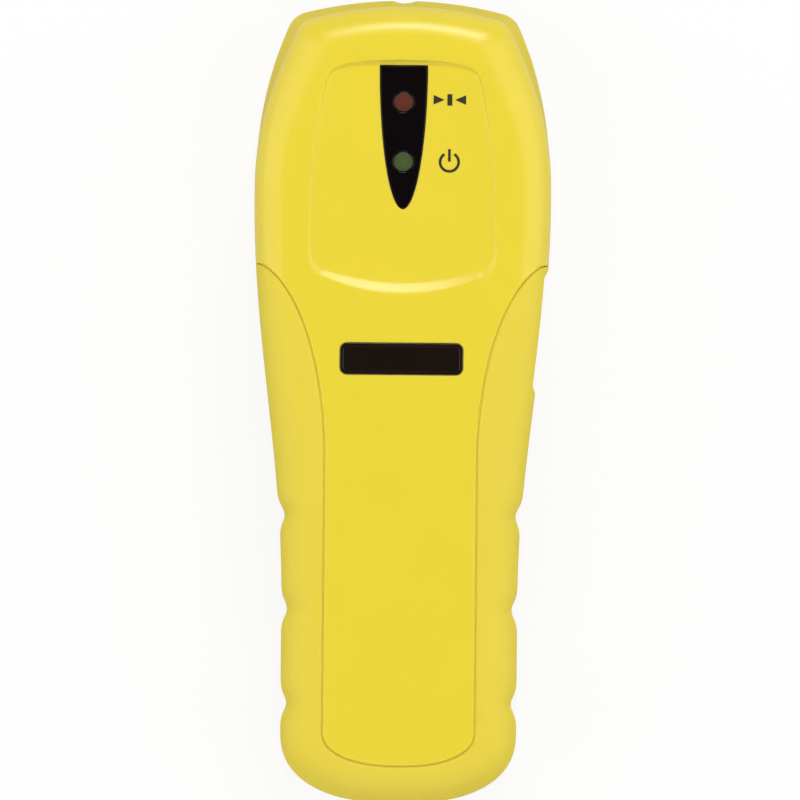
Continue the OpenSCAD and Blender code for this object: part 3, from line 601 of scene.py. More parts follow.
# Materials
def linear(code):
    """An sRGB hex colour as linear values."""
    parts = (int(code[i:i + 2], 16) / 255 for i in (1, 3, 5))
    return [c / 12.92 if c <= 0.04045 else ((c + 0.055) / 1.055) ** 2.4 for c in parts] + [1.0]


def add_node(tree, kind, settings=None, inputs=None):
    """Adds a node, sets it up, and links or sets its inputs."""
    node = tree.nodes.new(kind)
    for name, value in (settings or {}).items():
        setattr(node, name, value)
    for name, value in (inputs or {}).items():
        if isinstance(value, bpy.types.NodeSocket):
            tree.links.new(value, node.inputs[name])
        else:
            node.inputs[name].default_value = value
    return node


def per_metre(size_mm):
    """Scale of a pattern whose marks are so many millimetres across."""
    return 1 / (size_mm * MM)


def finish_of(name, tones, rough, drift_and_shade_mm, grain, ior=None, metal=0.0, about=None):
    """A surface that drifts between two tones, with a fine grain in its height and its gloss.

    rough is the roughness and how far it strays, grain the size of the grain and the strength of its bump.
    With a point about, one tone goes over to the other from there out to the given reach in millimetres
    instead: painted light, the first tone a painted highlight at that point and the second painted shade
    round it."""
    made = bpy.data.materials.new(name)
    made.use_nodes = True
    tree = made.node_tree
    shader = tree.nodes["Principled BSDF"]
    place = add_node(tree, "ShaderNodeTexCoord").outputs["Object"]
    if about:
        # Painted light: the tone follows the distance from the point about, a painted highlight there that
        # shades off outwards
        far = add_node(tree, "ShaderNodeVectorMath", {"operation": "DISTANCE"},
                       {0: place, 1: Vector(about) * MM})
        share = add_node(tree, "ShaderNodeMapRange", None,
                         {"Value": far.outputs["Value"], "From Max": drift_and_shade_mm * MM}).outputs["Result"]
    else:
        share = add_node(tree, "ShaderNodeTexNoise", None,
                         {"Vector": place, "Scale": per_metre(drift_and_shade_mm), "Detail": 3.0,
                          "Roughness": 0.55}).outputs["Fac"]
    tone = add_node(tree, "ShaderNodeMix", {"data_type": "RGBA"}, {"Factor": share})
    tone.inputs["A"].default_value, tone.inputs["B"].default_value = (linear(code) for code in tones)
    tree.links.new(tone.outputs["Result"], shader.inputs["Base Color"])
    middle, stray = rough
    grain_mm, strength = grain
    fine = add_node(tree, "ShaderNodeTexNoise", None,
                    {"Vector": place, "Scale": per_metre(grain_mm), "Detail": 4.0,
                     "Roughness": 0.6}).outputs["Fac"]
    gloss = add_node(tree, "ShaderNodeMapRange", None,
                     {"Value": fine, "To Min": middle - stray, "To Max": middle + stray})
    tree.links.new(gloss.outputs["Result"], shader.inputs["Roughness"])
    bump = add_node(tree, "ShaderNodeBump", None,
                    {"Height": fine, "Strength": strength, "Distance": grain_mm * MM / 10})
    tree.links.new(bump.outputs["Normal"], shader.inputs["Normal"])
    shader.inputs["Metallic"].default_value = metal
    if ior:
        shader.inputs["IOR"].default_value = ior
    return made


# Moulded ABS from a spark-textured tool: even colour, a satin sheen and a grain of about a third of a
# millimetre, drawn at half a millimetre so that it shows
front_abs = finish_of("moulded_abs_front", ("#ead438", "#e6d034"), rough=(0.33, 0.04), drift_and_shade_mm=14,
                      grain=(0.5, 0.2), ior=1.53)
rear_abs = finish_of("moulded_abs_rear", ("#e5cf36", "#e1cb32"), rough=(0.6, 0.04), drift_and_shade_mm=14,
                     grain=(0.5, 0.22), ior=1.53)
button_abs = finish_of("moulded_abs_button", ("#e4cb33", "#dfc62f"), rough=(0.42, 0.03), drift_and_shade_mm=9,
                       grain=(0.5, 0.14), ior=1.53)
door_abs = finish_of("moulded_abs_door", ("#e4cb34", "#dfc730"), rough=(0.42, 0.03), drift_and_shade_mm=12,
                     grain=(0.5, 0.14), ior=1.53)
# Cast acrylic with a smoke tint: almost black, with a polished face
smoke_acrylic = finish_of("smoked_acrylic", ("#0c0709", "#090608"), rough=(0.1, 0.02), drift_and_shade_mm=8,
                          grain=(0.8, 0.02), ior=1.49)
# Moulded ABS, polished in the tool: a black with a soft reflection
badge_abs = finish_of("moulded_abs_black", ("#1a0f07", "#150c06"), rough=(0.2, 0.03), drift_and_shade_mm=6,
                      grain=(0.5, 0.04), ior=1.53)
# Cast epoxy of the lights: deep colour under a clear skin. The colour is painted light: a lighter tone at
# the middle of each dome, a painted highlight, goes over to a darker, browner one at its rim, painted
# shade.
red_epoxy_painted_light = finish_of("cast_epoxy_red_painted_light", ("#70281f", "#472c1f"), rough=(0.3, 0.03), drift_and_shade_mm=2.1,
                      grain=(0.8, 0.05), ior=1.55, about=(0, RED_Y, PANEL_Z))
green_epoxy_painted_light = finish_of("cast_epoxy_green_painted_light", ("#475a2b", "#414a2a"), rough=(0.3, 0.03), drift_and_shade_mm=2.1,
                        grain=(0.8, 0.05), ior=1.55, about=(0, GREEN_Y, PANEL_Z))
# Pad-printed ink: a dull black film with slightly uneven cover
print_ink = finish_of("pad_printed_ink", ("#1c1a10", "#2a2614"), rough=(0.55, 0.05), drift_and_shade_mm=0.6,
                      grain=(0.3, 0.05), ior=1.5)
# Moulded nylon: a grey black with a dull skin
black_nylon = finish_of("moulded_nylon", ("#2b2b2d", "#242426"), rough=(0.5, 0.05), drift_and_shade_mm=5,
                        grain=(0.4, 0.12), ior=1.53)
# Transfer-moulded epoxy of a chip: matt, with the bloom of its mould
chip_epoxy = finish_of("moulded_epoxy", ("#1d1d1f", "#26262a"), rough=(0.6, 0.06), drift_and_shade_mm=2,
                       grain=(0.2, 0.1), ior=1.55)
# Zinc-plated steel: a cool grey with a faint mottle
zinc_steel = finish_of("zinc_plated_steel", ("#a6a8ad", "#8e9095"), rough=(0.32, 0.06), drift_and_shade_mm=1.2,
                       grain=(0.3, 0.08), metal=1.0)
# Nickel-plated steel, pressed: bright and a little warm
nickel_steel = finish_of("nickel_plated_steel", ("#c9c8c4", "#b5b4b0"), rough=(0.25, 0.05), drift_and_shade_mm=2,
                         grain=(0.4, 0.05), metal=1.0)
# Glass-epoxy board under solder mask: a translucent green over the weave of the cloth, half a millimetre
board_mask = finish_of("solder_mask", ("#2f6b3c", "#275a33"), rough=(0.35, 0.05), drift_and_shade_mm=3,
                       grain=(0.5, 0.15), ior=1.52)
# Copper foil, bare: salmon with darker oxide
copper_foil = finish_of("copper_foil", ("#c07a48", "#a2612f"), rough=(0.35, 0.06), drift_and_shade_mm=3,
                        grain=(0.4, 0.08), metal=1.0)
# Shrunk vinyl sleeve of a capacitor: dark blue and glossy
capacitor_sleeve = finish_of("shrunk_vinyl", ("#27324a", "#1f2a40"), rough=(0.3, 0.03), drift_and_shade_mm=3,
                             grain=(0.6, 0.04), ior=1.53)
# Fired ceramic of the small parts: a dull brown
chip_ceramic = finish_of("fired_ceramic", ("#8a7b66", "#77694f"), rough=(0.6, 0.05), drift_and_shade_mm=1,
                         grain=(0.2, 0.1), ior=1.6)
# Acetal plunger: waxy white
white_acetal = finish_of("moulded_acetal", ("#e6e4dc", "#dcd9cf"), rough=(0.4, 0.04), drift_and_shade_mm=2,
                         grain=(0.4, 0.06), ior=1.48)
# Lacquered steel jacket of the battery: a dark grey film with a slight orange peel
battery_lacquer = finish_of("lacquered_jacket", ("#3a3d42", "#33363b"), rough=(0.35, 0.05), drift_and_shade_mm=9,
                            grain=(0.8, 0.06), ior=1.5)
# Plasticised vinyl of the snap and leads: soft, slightly glossy
black_vinyl = finish_of("black_vinyl", ("#1f1f21", "#19191b"), rough=(0.45, 0.04), drift_and_shade_mm=4,
                        grain=(0.4, 0.08), ior=1.53)
red_vinyl = finish_of("red_vinyl", ("#b5261e", "#9f2019"), rough=(0.4, 0.04), drift_and_shade_mm=4,
                      grain=(0.4, 0.08), ior=1.53)


# The rear shell
def seam_way(s):
    return way_up(s, s.seam)


def on_face(s, i):
    return 0.0


def in_wall(s, i):
    return WALL


def rear_tray():
    """The rear shell's skin: round the back's edge, up the wall, over the seam's edge and down inside."""
    rings = []
    for a in quarter(6)[:-1]:
        drop, rise = BACK_ROUND * (1 - math.sin(a)), BACK_ROUND * (1 - math.cos(a))
        rings.append(mirrored([inset(s, drop, rise) for s in STATIONS]))
    for t in shares(40):
        rings.append(wall_ring(lambda s, i: (seam_way(s) - LIP * LEANS[i]) * t, on_face))
    for a in quarter(3, 1):
        rings.append(wall_ring(lambda s, i: seam_way(s) - LIP * LEANS[i] * (1 - math.sin(a)),
                               lambda s, i: LIP * (1 - math.cos(a))))
    floor_way = WALL - BACK_ROUND
    for t in shares(10):
        rings.append(wall_ring(lambda s, i: lerp(seam_way(s), floor_way, t), in_wall))
    points, faces = skin(rings)
    count = len(rings[0])
    for start in (0, len(points) - count):
        for i in range(LAST):
            strip = [i, i + 1, count - 1 - i, (count - i) % count]
            faces.append(tuple(start + j for j in dict.fromkeys(strip)))
    return object_of("rear_housing", points, faces)


def seam_lip():
    """The lip of the rear shell that closes the seam from behind."""
    top, thick, reach = 0.42, 0.9, 1.2
    corners = ((-reach, top), (SEAM_GAP, top), (SEAM_GAP, top + thick), (-reach, top + thick))
    rings = []
    for shift, depth in corners + corners[:1]:
        wide = shift > 0
        rings.append(wall_ring(lambda s, i: seam_way(s) + shift * (LEANS[i] if wide else 1),
                               lambda s, i: depth))
    return stack("lip", rings, caps=False)


def side_strip(start, end, length, z0, z1):
    """A strip of the right wall about the button, between two depths under its face."""
    ys = [BUTTON_Y + length * (t - 0.5) for t in shares(20)]
    loop = [(side_half(y) - start, y) for y in ys] + [(side_half(y) - end, y) for y in reversed(ys)]
    return stack("strip", [upright(loop, z) for z in (z0, z1)])


def button_pocket():
    """A cutter for the flat that the button sits in, whose ends slope up to the wall's face."""
    half = BUTTON_LEN / 2 + BUTTON_CLEAR
    brim = half + POCKET_RUN * (1 + WALL / POCKET_DEPTH)
    loop = [(side_half(y) - POCKET_DEPTH, y) for y in (BUTTON_Y + half * (2 * t - 1) for t in shares(20))]
    loop += [(side_half(y) + WALL, y) for y in (BUTTON_Y + brim, BUTTON_Y - brim)]
    return stack("pocket", [upright(loop, z) for z in (-OVER, BODY_H + OVER)])


def button_opening():
    """A bar that cuts the button's opening, from well inside the right wall to well outside it."""
    x0, x1 = 12, 40
    loop = rounded_box(BUTTON_LEN + 2 * BUTTON_CLEAR, BUTTON_H + 2 * BUTTON_CLEAR, BUTTON_R + BUTTON_CLEAR)
    return stack("bar", [[(x, BUTTON_Y + u, BUTTON_Z + v) for u, v in loop] for x in (x0, x1)])


def track(side):
    """One side of the battery's cradle, with the slot for the door's rim under it."""
    out = DOOR_RIM_HALF + DOOR_CLEAR
    foot_z, top_z, lip_z = WALL - POST_WELD, WALL + CRADLE_H, DOOR_TOP_Z + BATTERY_CLEAR
    low_y = Y_TAIL + BATTERY_START + WALL
    high_y = Y_TAIL + BATTERY_START + BATTERY_LEN - WALL / 2
    section = ((out, foot_z), (out + TRACK_WALL, foot_z), (out + TRACK_WALL, top_z),
               (CRADLE_HALF, top_z), (CRADLE_HALF, lip_z), (out, lip_z))
    return stack("track", [[(side * x, y, z) for x, z in section] for y in (low_y, high_y)])


SCREW_PLACES = [(side * x, y) for x, y in (SCREW_TOP, SCREW_LOW) for side in (1, -1)]


def notch_groove():
    """The pencil notch: a shallow groove that leans with the end wall."""
    r = NOTCH_W ** 2 / 8 / NOTCH_DEPTH + NOTCH_DEPTH / 2
    rings = []
    for z in (-OVER, PART_Z + OVER):
        lean = TOP_FLARE * (z - BACK_ROUND) / (PART_Z - BACK_ROUND)
        rings.append(upright(circle(0, Y_TOP - lean - NOTCH_DEPTH + r, r, 64), z))
    return stack("groove", rings)


def screw_boss(x, y):
    """A boss with a counterbore for a screw's head, and a hole for its shank."""
    out, foot_z = SCREW_HEAD_R + BOSS_WALL, WALL - BOSS_WELD
    profile = [(SCREW_HEAD_R, foot_z), (SCREW_HEAD_R, SCREW_SEAT_Z), (SCREW_HOLE_R, SCREW_SEAT_Z),
               (SCREW_HOLE_R, BOSS_TOP_Z), (out, BOSS_TOP_Z), (out, foot_z)]
    return lathe("boss", profile, x, y)


def make_rear_shell():
    tray = rear_tray()
    opening = DOOR_HALF + DOOR_CLEAR
    slot = DOOR_RIM_HALF + DOOR_CLEAR
    cutters = [
        block((-opening, Y_TAIL - OVER, -OVER), (opening, Y_TAIL + DOOR_LEN + DOOR_CLEAR, WALL + OVER)),
        block((-slot, Y_TAIL - 1.1 * OVER, DOOR_SINK + DOOR_T),
              (slot, TAIL_Y - OVER, DOOR_TOP_Z + BATTERY_CLEAR)),
        button_pocket(),
        button_opening(),
        notch_groove(),
    ]
    cutters += [rod(x, y, SCREW_HEAD_R, -OVER, WALL + OVER / 2) for x, y in SCREW_PLACES]
    shell = cut(tray, *cutters)
    extras = [seam_lip(), track(1), track(-1)]
    extras += [screw_boss(x, y) for x, y in SCREW_PLACES]
    for x, y in POST_PLACES:
        extras += [rod(side * x, y, POST_R, WALL - POST_WELD, POST_TOP_Z) for side in (1, -1)]
    return finished(joined(shell, *extras), rear_abs, replaces="rear_shell")


# The front shell
def panel_half(y, grow):
    """Half the panel's width, which spreads downwards and leans in towards its upper end."""
    down = PANEL_TOP_Y - y
    return (PANEL_W / 2 + grow + PANEL_SPREAD / 2 * clamp01(down / PANEL_LEN)
            - PANEL_LEAN * clamp01(1 - down / PANEL_LEAN_LEN) ** 2)


def panel_top(x, grow):
    return PANEL_TOP_Y + grow - PANEL_ARCH * (x / PANEL_ARCH_REACH) ** 3


def panel_low(x, drop):
    return PANEL_TOP_Y - PANEL_LEN - drop + (PANEL_SAG + drop * PANEL_TAPER) * (x / (PANEL_W / 2)) ** 2


def bend(start, tip, end, steps):
    """Points of a curve from one point to another, drawn towards a tip, without the last."""
    a, b, c = Vector(start), Vector(tip), Vector(end)
    return [tuple(a.lerp(b, t).lerp(b.lerp(c, t), t)) for t in shares(steps)[:-1]]


def panel_loop(grow, up, drop):
    """Outline of the recessed panel, with its sides moved out, its top up and its lower edge down."""
    nook_x = panel_half(PANEL_TOP_Y - PANEL_ARCH, grow)
    nook_y = panel_top(nook_x, up)
    arch_x, side_y = nook_x - PANEL_NOOK, nook_y - PANEL_NOOK
    low_x = PANEL_W / 2 - PANEL_CORNER / 2
    low_y = panel_low(low_x, drop)
    turn_y = low_y + PANEL_CORNER * 1.5
    turn_x = panel_half(turn_y, grow)
    half = [(arch_x * t, panel_top(arch_x * t, up)) for t in shares(16)[:-1]]
    half += bend((arch_x, panel_top(arch_x, up)), (nook_x, nook_y), (panel_half(side_y, grow), side_y), 12)
    half += [(panel_half(y, grow), y) for y in (lerp(side_y, turn_y, t) for t in shares(24)[:-1])]
    half += bend((turn_x, turn_y), (turn_x, low_y), (low_x, low_y), 12)
    half += [(low_x * t, panel_low(low_x * t, drop)) for t in reversed(shares(24))]
    return mirrored(half)


def panel_floor(x):
    """Height of the panel's floor, which is scooped: it rises towards its sides."""
    return PANEL_Z + PANEL_RISE * clamp01(abs(x) / (PANEL_W / 2)) ** 3


def soft_step(t, w):
    """From 0 to 1 as t goes from 0 to 1, with both ends rounded over w."""
    if t < w:
        return max(0.0, t + w) ** 2 / (4 * w)
    if t > 1 - w:
        return 1 - max(0.0, 1 + w - t) ** 2 / (4 * w)
    return t


def lens_loop(grow):
    """Outline of the window: flat at the top, and half an ellipse below."""
    across, down = LENS_W / 2 + grow, LENS_LEN + 2 * grow
    turns = [math.pi * t for t in shares(64)]
    return [(across * math.cos(a), LENS_TOP_Y + grow - down * math.sin(a)) for a in turns]


def badge_loop(grow):
    w, l, r = BADGE_W + 2 * grow, BADGE_L + 2 * grow, BADGE_R + grow
    return [(x, BADGE_Y + y) for x, y in rounded_box(w, l, r)]


def edge_way(s, i):
    return seam_way(s) + SEAM_GAP * LEANS[i]


def lip_way(s, i):
    return edge_way(s, i) + LIP * LEANS[i]


def face_way(s, i):
    """Where the wall goes over to the front face: at least a millimetre in from the seam's edge."""
    return max(way_up(s, 3), lip_way(s, i) + 1)


def front_rings():
    """Rings of the front shell, from inside the face down to the seam, over its edge and up to the face."""
    rings = []
    for t in shares(8):
        rings.append(wall_ring(lambda s, i: lerp(face_way(s, i), edge_way(s, i), t), in_wall))
    for a in quarter(3):
        rings.append(wall_ring(lambda s, i: edge_way(s, i) + LIP * LEANS[i] * (1 - math.cos(a)),
                               lambda s, i: LIP * (1 - math.sin(a))))
    for t in shares(30, 1):
        rings.append(wall_ring(lambda s, i: lerp(lip_way(s, i), face_way(s, i), t), on_face))
    return rings


def panel_walls():
    """Loops of the panel's soft wall, from its floor up to the face."""
    walls = []
    for share in shares(12):
        t = lerp(-PANEL_SOFT, 1 + PANEL_SOFT, share)
        up = soft_step(t, PANEL_SOFT)
        loop = panel_loop(lerp(*PANEL_SIDE_WALL, share), lerp(*PANEL_UPPER_WALL, share),
                          PANEL_SLOPE * (t + PANEL_SOFT))
        walls.append([(x, y, lerp(panel_floor(x), BODY_H, up)) for x, y in loop])
    return walls


def face_grid(outer, walls, slot, pocket):
    """Points in staggered rows over the front face and the panel's floor, clear of the loops in them."""
    spacing, clear = 1.5, 0.7
    cells = {}
    for loop in (outer, *walls, slot, pocket):
        for p in loop:
            cells.setdefault((math.floor(p[0]), math.floor(p[1])), []).append(Vector(p[:2]))
    outline, floor_edge, wall_top = in_plan(outer), in_plan(walls[0]), in_plan(walls[-1])
    openings = in_plan(slot), in_plan(pocket)
    grid = []
    for row in range(int(BODY_LEN / spacing)):
        for col in range(int(HEAD_W / spacing)):
            p = Vector((spacing * (col + 0.5 * (row % 2)) - HEAD_W / 2, Y_TAIL + spacing * row))
            close = (q for dx in (-1, 0, 1) for dy in (-1, 0, 1)
                     for q in cells.get((math.floor(p.x) + dx, math.floor(p.y) + dy), ()))
            if any((p - q).length < clear for q in close) or not inside(p, outline):
                continue
            on_floor = inside(p, floor_edge)
            on_wall_face = inside(p, wall_top) and not on_floor
            if on_wall_face or any(inside(p, opening) for opening in openings):
                continue
            grid.append((p.x, p.y, panel_floor(p.x) if on_floor else BODY_H))
    return grid


def sunk_wall(points, faces, first, loop_at, clear, top, bottom):
    """Adds the wall of an opening in the face, from its loop of points down, and gives its lowest loop."""
    profile = [(clear + SLOT_EDGE * (1 - math.sin(a)), top - SLOT_EDGE * (1 - math.cos(a)))
               for a in quarter(3, 1)]
    count = len(loop_at(0))
    for grow, z in profile + [(clear, bottom)]:
        start = len(points)
        points += upright(loop_at(grow), z)
        faces += ring_faces(count, first, start)
        first = start
    return list(range(first, first + count))


def make_front_shell():
    rings = front_rings()
    points, faces = skin(rings)
    count, outer = len(rings[0]), rings[-1]

    # The front face: the panel's wall, the window's slot and the plate's pocket are loops in it
    walls = panel_walls()
    slot = upright(lens_loop(LENS_CLEAR + SLOT_EDGE), PANEL_Z)
    pocket = upright(badge_loop(BADGE_CLEAR + SLOT_EDGE), BODY_H)
    grid = face_grid(outer, walls, slot, pocket)
    first = len(points) - count
    triangles = filled(outer, lines=walls, holes=[slot, pocket], points=grid)
    faces += [tuple(first + i for i in t) for t in triangles]
    for loop in walls:
        points += loop
    slot_start = len(points)
    pocket_start = slot_start + len(slot)
    points += slot + pocket + grid

    # Walls of the slot and the pocket, and the inner face with the slot in it
    slot_foot = sunk_wall(points, faces, slot_start, lens_loop, LENS_CLEAR, PANEL_Z, FRONT_IN_Z)
    faces.append(tuple(sunk_wall(points, faces, pocket_start, badge_loop, BADGE_CLEAR, BODY_H,
                                 BODY_H - BADGE_POCKET)))
    inner_ids = list(range(count)) + slot_foot
    inner = filled(points[:count], holes=[[points[i] for i in slot_foot]])
    faces += [tuple(inner_ids[i] for i in t) for t in inner]
    shell = object_of("front_housing", points, faces)

    # Bosses that meet the rear shell's, and two ribs over the battery
    top_z = FRONT_IN_Z + WELD
    extras = [rod(x, y, SCREW_D / 2 + BOSS_WALL, BOSS_TOP_Z, top_z) for x, y in SCREW_PLACES]
    rib_half = BATTERY_W / 2 - 2 * BATTERY_R
    rib_z = DOOR_TOP_Z + BATTERY_T + 2 * BATTERY_CLEAR
    for share in (0.25, 0.75):
        y = Y_TAIL + BATTERY_START + BATTERY_LEN * share
        extras.append(block((-rib_half, y - WALL / 2, rib_z), (rib_half, y + WALL / 2, top_z)))
    return finished(joined(shell, *extras), front_abs, replaces="front_shell")


# Window, plate, door and button
def make_window():
    """The window: a plate with a flange behind the front shell and a hole for each light."""
    holes = [lambda grow, y=y: circle(0, y, LED_D / 2 + LED_CLEAR + grow) for y in (RED_Y, GREEN_Y)]
    flange = [(-LENS_RIM, FRONT_IN_Z - LENS_RIM_T), (-LENS_RIM, FRONT_IN_Z)]
    profile = flange + rounded_profile(FRONT_IN_Z, LENS_Z, LENS_EDGE)
    body = plate("window", lambda shrink: lens_loop(-shrink), profile, holes)
    return finished(body, smoke_acrylic, replaces="display_lens")


def make_badge():
    """The bare plate: a rounded edge, a narrow border and a field that is sunk a little."""
    z0, z1 = BODY_H - BADGE_POCKET, BODY_H + BADGE_PROUD
    border, sunk = 0.55, 0.1
    profile = rounded_profile(z0, z1, BADGE_EDGE) + [(border, z1), (border + sunk, z1 - sunk)]
    body = plate("name_plate_blank", lambda shrink: badge_loop(-shrink), profile)
    return finished(body, badge_abs, replaces="badge_plate")


def door_loop(half, back):
    """Outline of the door as a function of its shrink: square at the top, and set back from the tail."""
    depth, reach = TAIL_LEN - back, side_half(TAIL_Y) - back
    top_y = Y_TAIL + DOOR_LEN

    def at(shrink):
        side = half - shrink
        loop = [(side, top_y - shrink), (-side, top_y - shrink)]
        for t in shares(72):
            x = lerp(-side, side, t)
            share = (1 - (abs(x) / reach) ** TAIL_SQUARE) ** (1 / TAIL_SQUARE)
            loop.append((x, TAIL_Y + shrink - depth * share))
        return loop
    return at


def finger_groove(y):
    """A cutter for one groove across the door, with a rounded brim and a rounded bed."""
    loop = rounded_box(GROOVE_W, GROOVE_PITCH / 2, GROOVE_PITCH / 4 - 0.01, 6)
    bed = DOOR_SINK + GROOVE_DEPTH
    section = ((1.02, 1.25, DOOR_SINK - 0.3), (1, 1, DOOR_SINK + 0.1), (0.99, 0.85, bed - 0.15),
               (0.97, 0.5, bed))
    return stack("groove", [[(u * long, y + v * wide, z) for u, v in loop] for long, wide, z in section])


def make_door():
    """The door: a cover with grooves for the thumb, and a rim over it that runs in the tracks."""
    rim_z = DOOR_SINK + DOOR_T + DOOR_CLEAR
    brim = 0.35
    cover = plate("battery_cover", door_loop(DOOR_HALF, DOOR_INSET),
                  rounded_profile(DOOR_SINK, rim_z + WELD, 0, low_edge=brim))
    first_y = Y_TAIL + GROOVE_START + GROOVE_PITCH / 4
    cover = cut(cover, *(finger_groove(first_y + k * GROOVE_PITCH) for k in range(GROOVES)))
    rim = plate("rim", door_loop(DOOR_RIM_HALF, DOOR_INSET / 2), [(0, rim_z), (0, rim_z + DOOR_RIM_T)])
    return finished(joined(cover, rim), door_abs, body="door", replaces="battery_door")


def make_button():
    """The button: a bar with a rounded edge and a shallow dish, its flange and the rib behind it."""
    face = POCKET_DEPTH + BUTTON_SINK
    rim_out = WALL + BUTTON_CLEAR
    edge, dish = 0.6, 0.28
    bar_weld, rib_weld = 0.7, 0.3
    middle_gap = 0.3
    least_r, corner_share = 0.2, 0.45

    def ring(shrink, depth):
        loop = rounded_box(BUTTON_LEN - 2 * shrink, BUTTON_H - 2 * shrink,
                           max(least_r, BUTTON_R - shrink * corner_share))
        return [(side_half(BUTTON_Y + u) - depth, BUTTON_Y + u, BUTTON_Z + v) for u, v in loop]

    rings = [ring(0, rim_out + bar_weld)]
    rings += [ring(edge * (1 - math.cos(a)), face + edge * (1 - math.sin(a))) for a in quarter(5)]
    for t in shares(8, 1):
        rings.append(ring(lerp(edge, BUTTON_H / 2 - middle_gap, t), face + dish * smooth(t)))
    bar = stack("thumb_button", rings)
    rim_half = BUTTON_H / 2 + BUTTON_RIM
    flange = side_strip(rim_out, rim_out + BUTTON_RIM_T, BUTTON_LEN + 2 * BUTTON_RIM,
                        BUTTON_Z - rim_half, BUTTON_Z + rim_half)
    rib_x0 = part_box("activation_button")[0][0] / MM
    rib_x1 = side_half(BUTTON_Y) - rim_out - BUTTON_RIM_T + rib_weld
    rib = block((rib_x0, BUTTON_Y - BUTTON_RIB / 2, PLUNGER_Z - BUTTON_RIB / 2),
                (rib_x1, BUTTON_Y + BUTTON_RIB / 2, PLUNGER_Z + BUTTON_RIB / 2))
    return finished(joined(bar, flange, rib), button_abs, body="button",
                    replaces="activation_button")


def make_light(node, material):
    """A light: a rim, a barrel with a low crown that meets the window's face, and two wires."""
    low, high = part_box(node)
    y = (low.y + high.y) / 2 / MM
    top, foot = high.z / MM, high.z / MM - LED_H
    r, rim, hub = LED_D / 2, LED_RIM_D / 2, 0.02
    crown, edge = 0.09, 0.2
    profile = [(hub, foot), (rim, foot), (rim, foot + LED_RIM_H), (r, foot + LED_RIM_H)]
    for a in quarter(6):
        profile.append((r - edge * (1 - math.cos(a)), top - crown - edge * (1 - math.sin(a))))
    profile += [(lerp(r - edge, hub, t), top - crown * (1 - t) ** 2) for t in shares(6, 1)]
    body = lathe(node + "_body", profile, 0, y)
    wires = [rod(side * LED_LEAD_PITCH / 2, y, LED_LEAD_D / 2, low.z / MM, foot + WELD) for side in (1, -1)]
    return finished(joined(body, *wires), material, replaces=node)


# Printed marks on the panel: two arrows against an edge, and the standby sign
MARK_X = 9.2
EDGE_MARK_Y = RED_Y + 0.5
STANDBY_MARK_Y = GREEN_Y
PRINT_T = 0.03
PRINT_ROOT = 0.02


def printed(name, loops):
    """A film of ink on the panel in the shape of the loops, which don't overlap."""
    films = []
    for loop in loops:
        rings = [[(x, y, panel_floor(x) + up) for x, y in loop] for up in (-PRINT_ROOT, PRINT_T)]
        films.append(stack(name, rings))
    return finished(joined(*films), print_ink)


def upright_bar(x, width, y0, y1):
    return [(x - width / 2, y0), (x + width / 2, y0), (x + width / 2, y1), (x - width / 2, y1)]


def make_edge_mark():
    x, y = MARK_X, EDGE_MARK_Y
    bar, tall, arrow, gap = 1.0, 2.3, 2.2, 0.55
    arrow_half = tall * 0.42
    loops = [upright_bar(x, bar, y - tall / 2, y + tall / 2)]
    for side in (-1, 1):
        near = x + side * (bar / 2 + gap)
        far = near + side * arrow
        loops.append([(near, y), (far, y - arrow_half), (far, y + arrow_half)])
    return printed("edge_mark", loops)


def make_standby_mark():
    x, y = MARK_X, STANDBY_MARK_Y
    r, stroke, opening = 1.85, 0.55, 32
    bar_start, bar_past = 0.1, 0.75
    turns = [math.radians(lerp(90 + opening, 450 - opening, t)) for t in shares(40)]
    ring = [(x + (r + stroke / 2) * math.cos(a), y + (r + stroke / 2) * math.sin(a)) for a in turns]
    turns.reverse()
    ring += [(x + (r - stroke / 2) * math.cos(a), y + (r - stroke / 2) * math.sin(a)) for a in turns]
    return printed("standby_mark", [ring, upright_bar(x, stroke, y + bar_start, y + r + bar_past)])


make_rear_shell()
make_front_shell()
make_window()
make_badge()
make_door()
make_button()
make_light("red_edge_led", red_epoxy_painted_light)
make_light("green_power_led", green_epoxy_painted_light)
make_edge_mark()
make_standby_mark()

# The CAD nodes that keep their shape
INNER_FINISHES = {
    "led_spacer": black_nylon,
    "case_screws": zinc_steel,
    "sensor_board": board_mask,
    "sensor_electrodes": copper_foil,
    "controller_chip": chip_epoxy,
    "filter_capacitor": capacitor_sleeve,
    "surface_mount_parts": chip_ceramic,
    "piezo_buzzer": black_nylon,
    "switch_body": black_nylon,
    "switch_plunger": white_acetal,
    "board_screws": zinc_steel,
    "battery_can": battery_lacquer,
    "battery_terminals": nickel_steel,
    "snap_connector": black_vinyl,
    "snap_contacts": nickel_steel,
    "positive_lead": red_vinyl,
    "negative_lead": black_vinyl,
}
for node, material in INNER_FINISHES.items():
    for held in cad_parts[node].material_slots:
        held.material = material


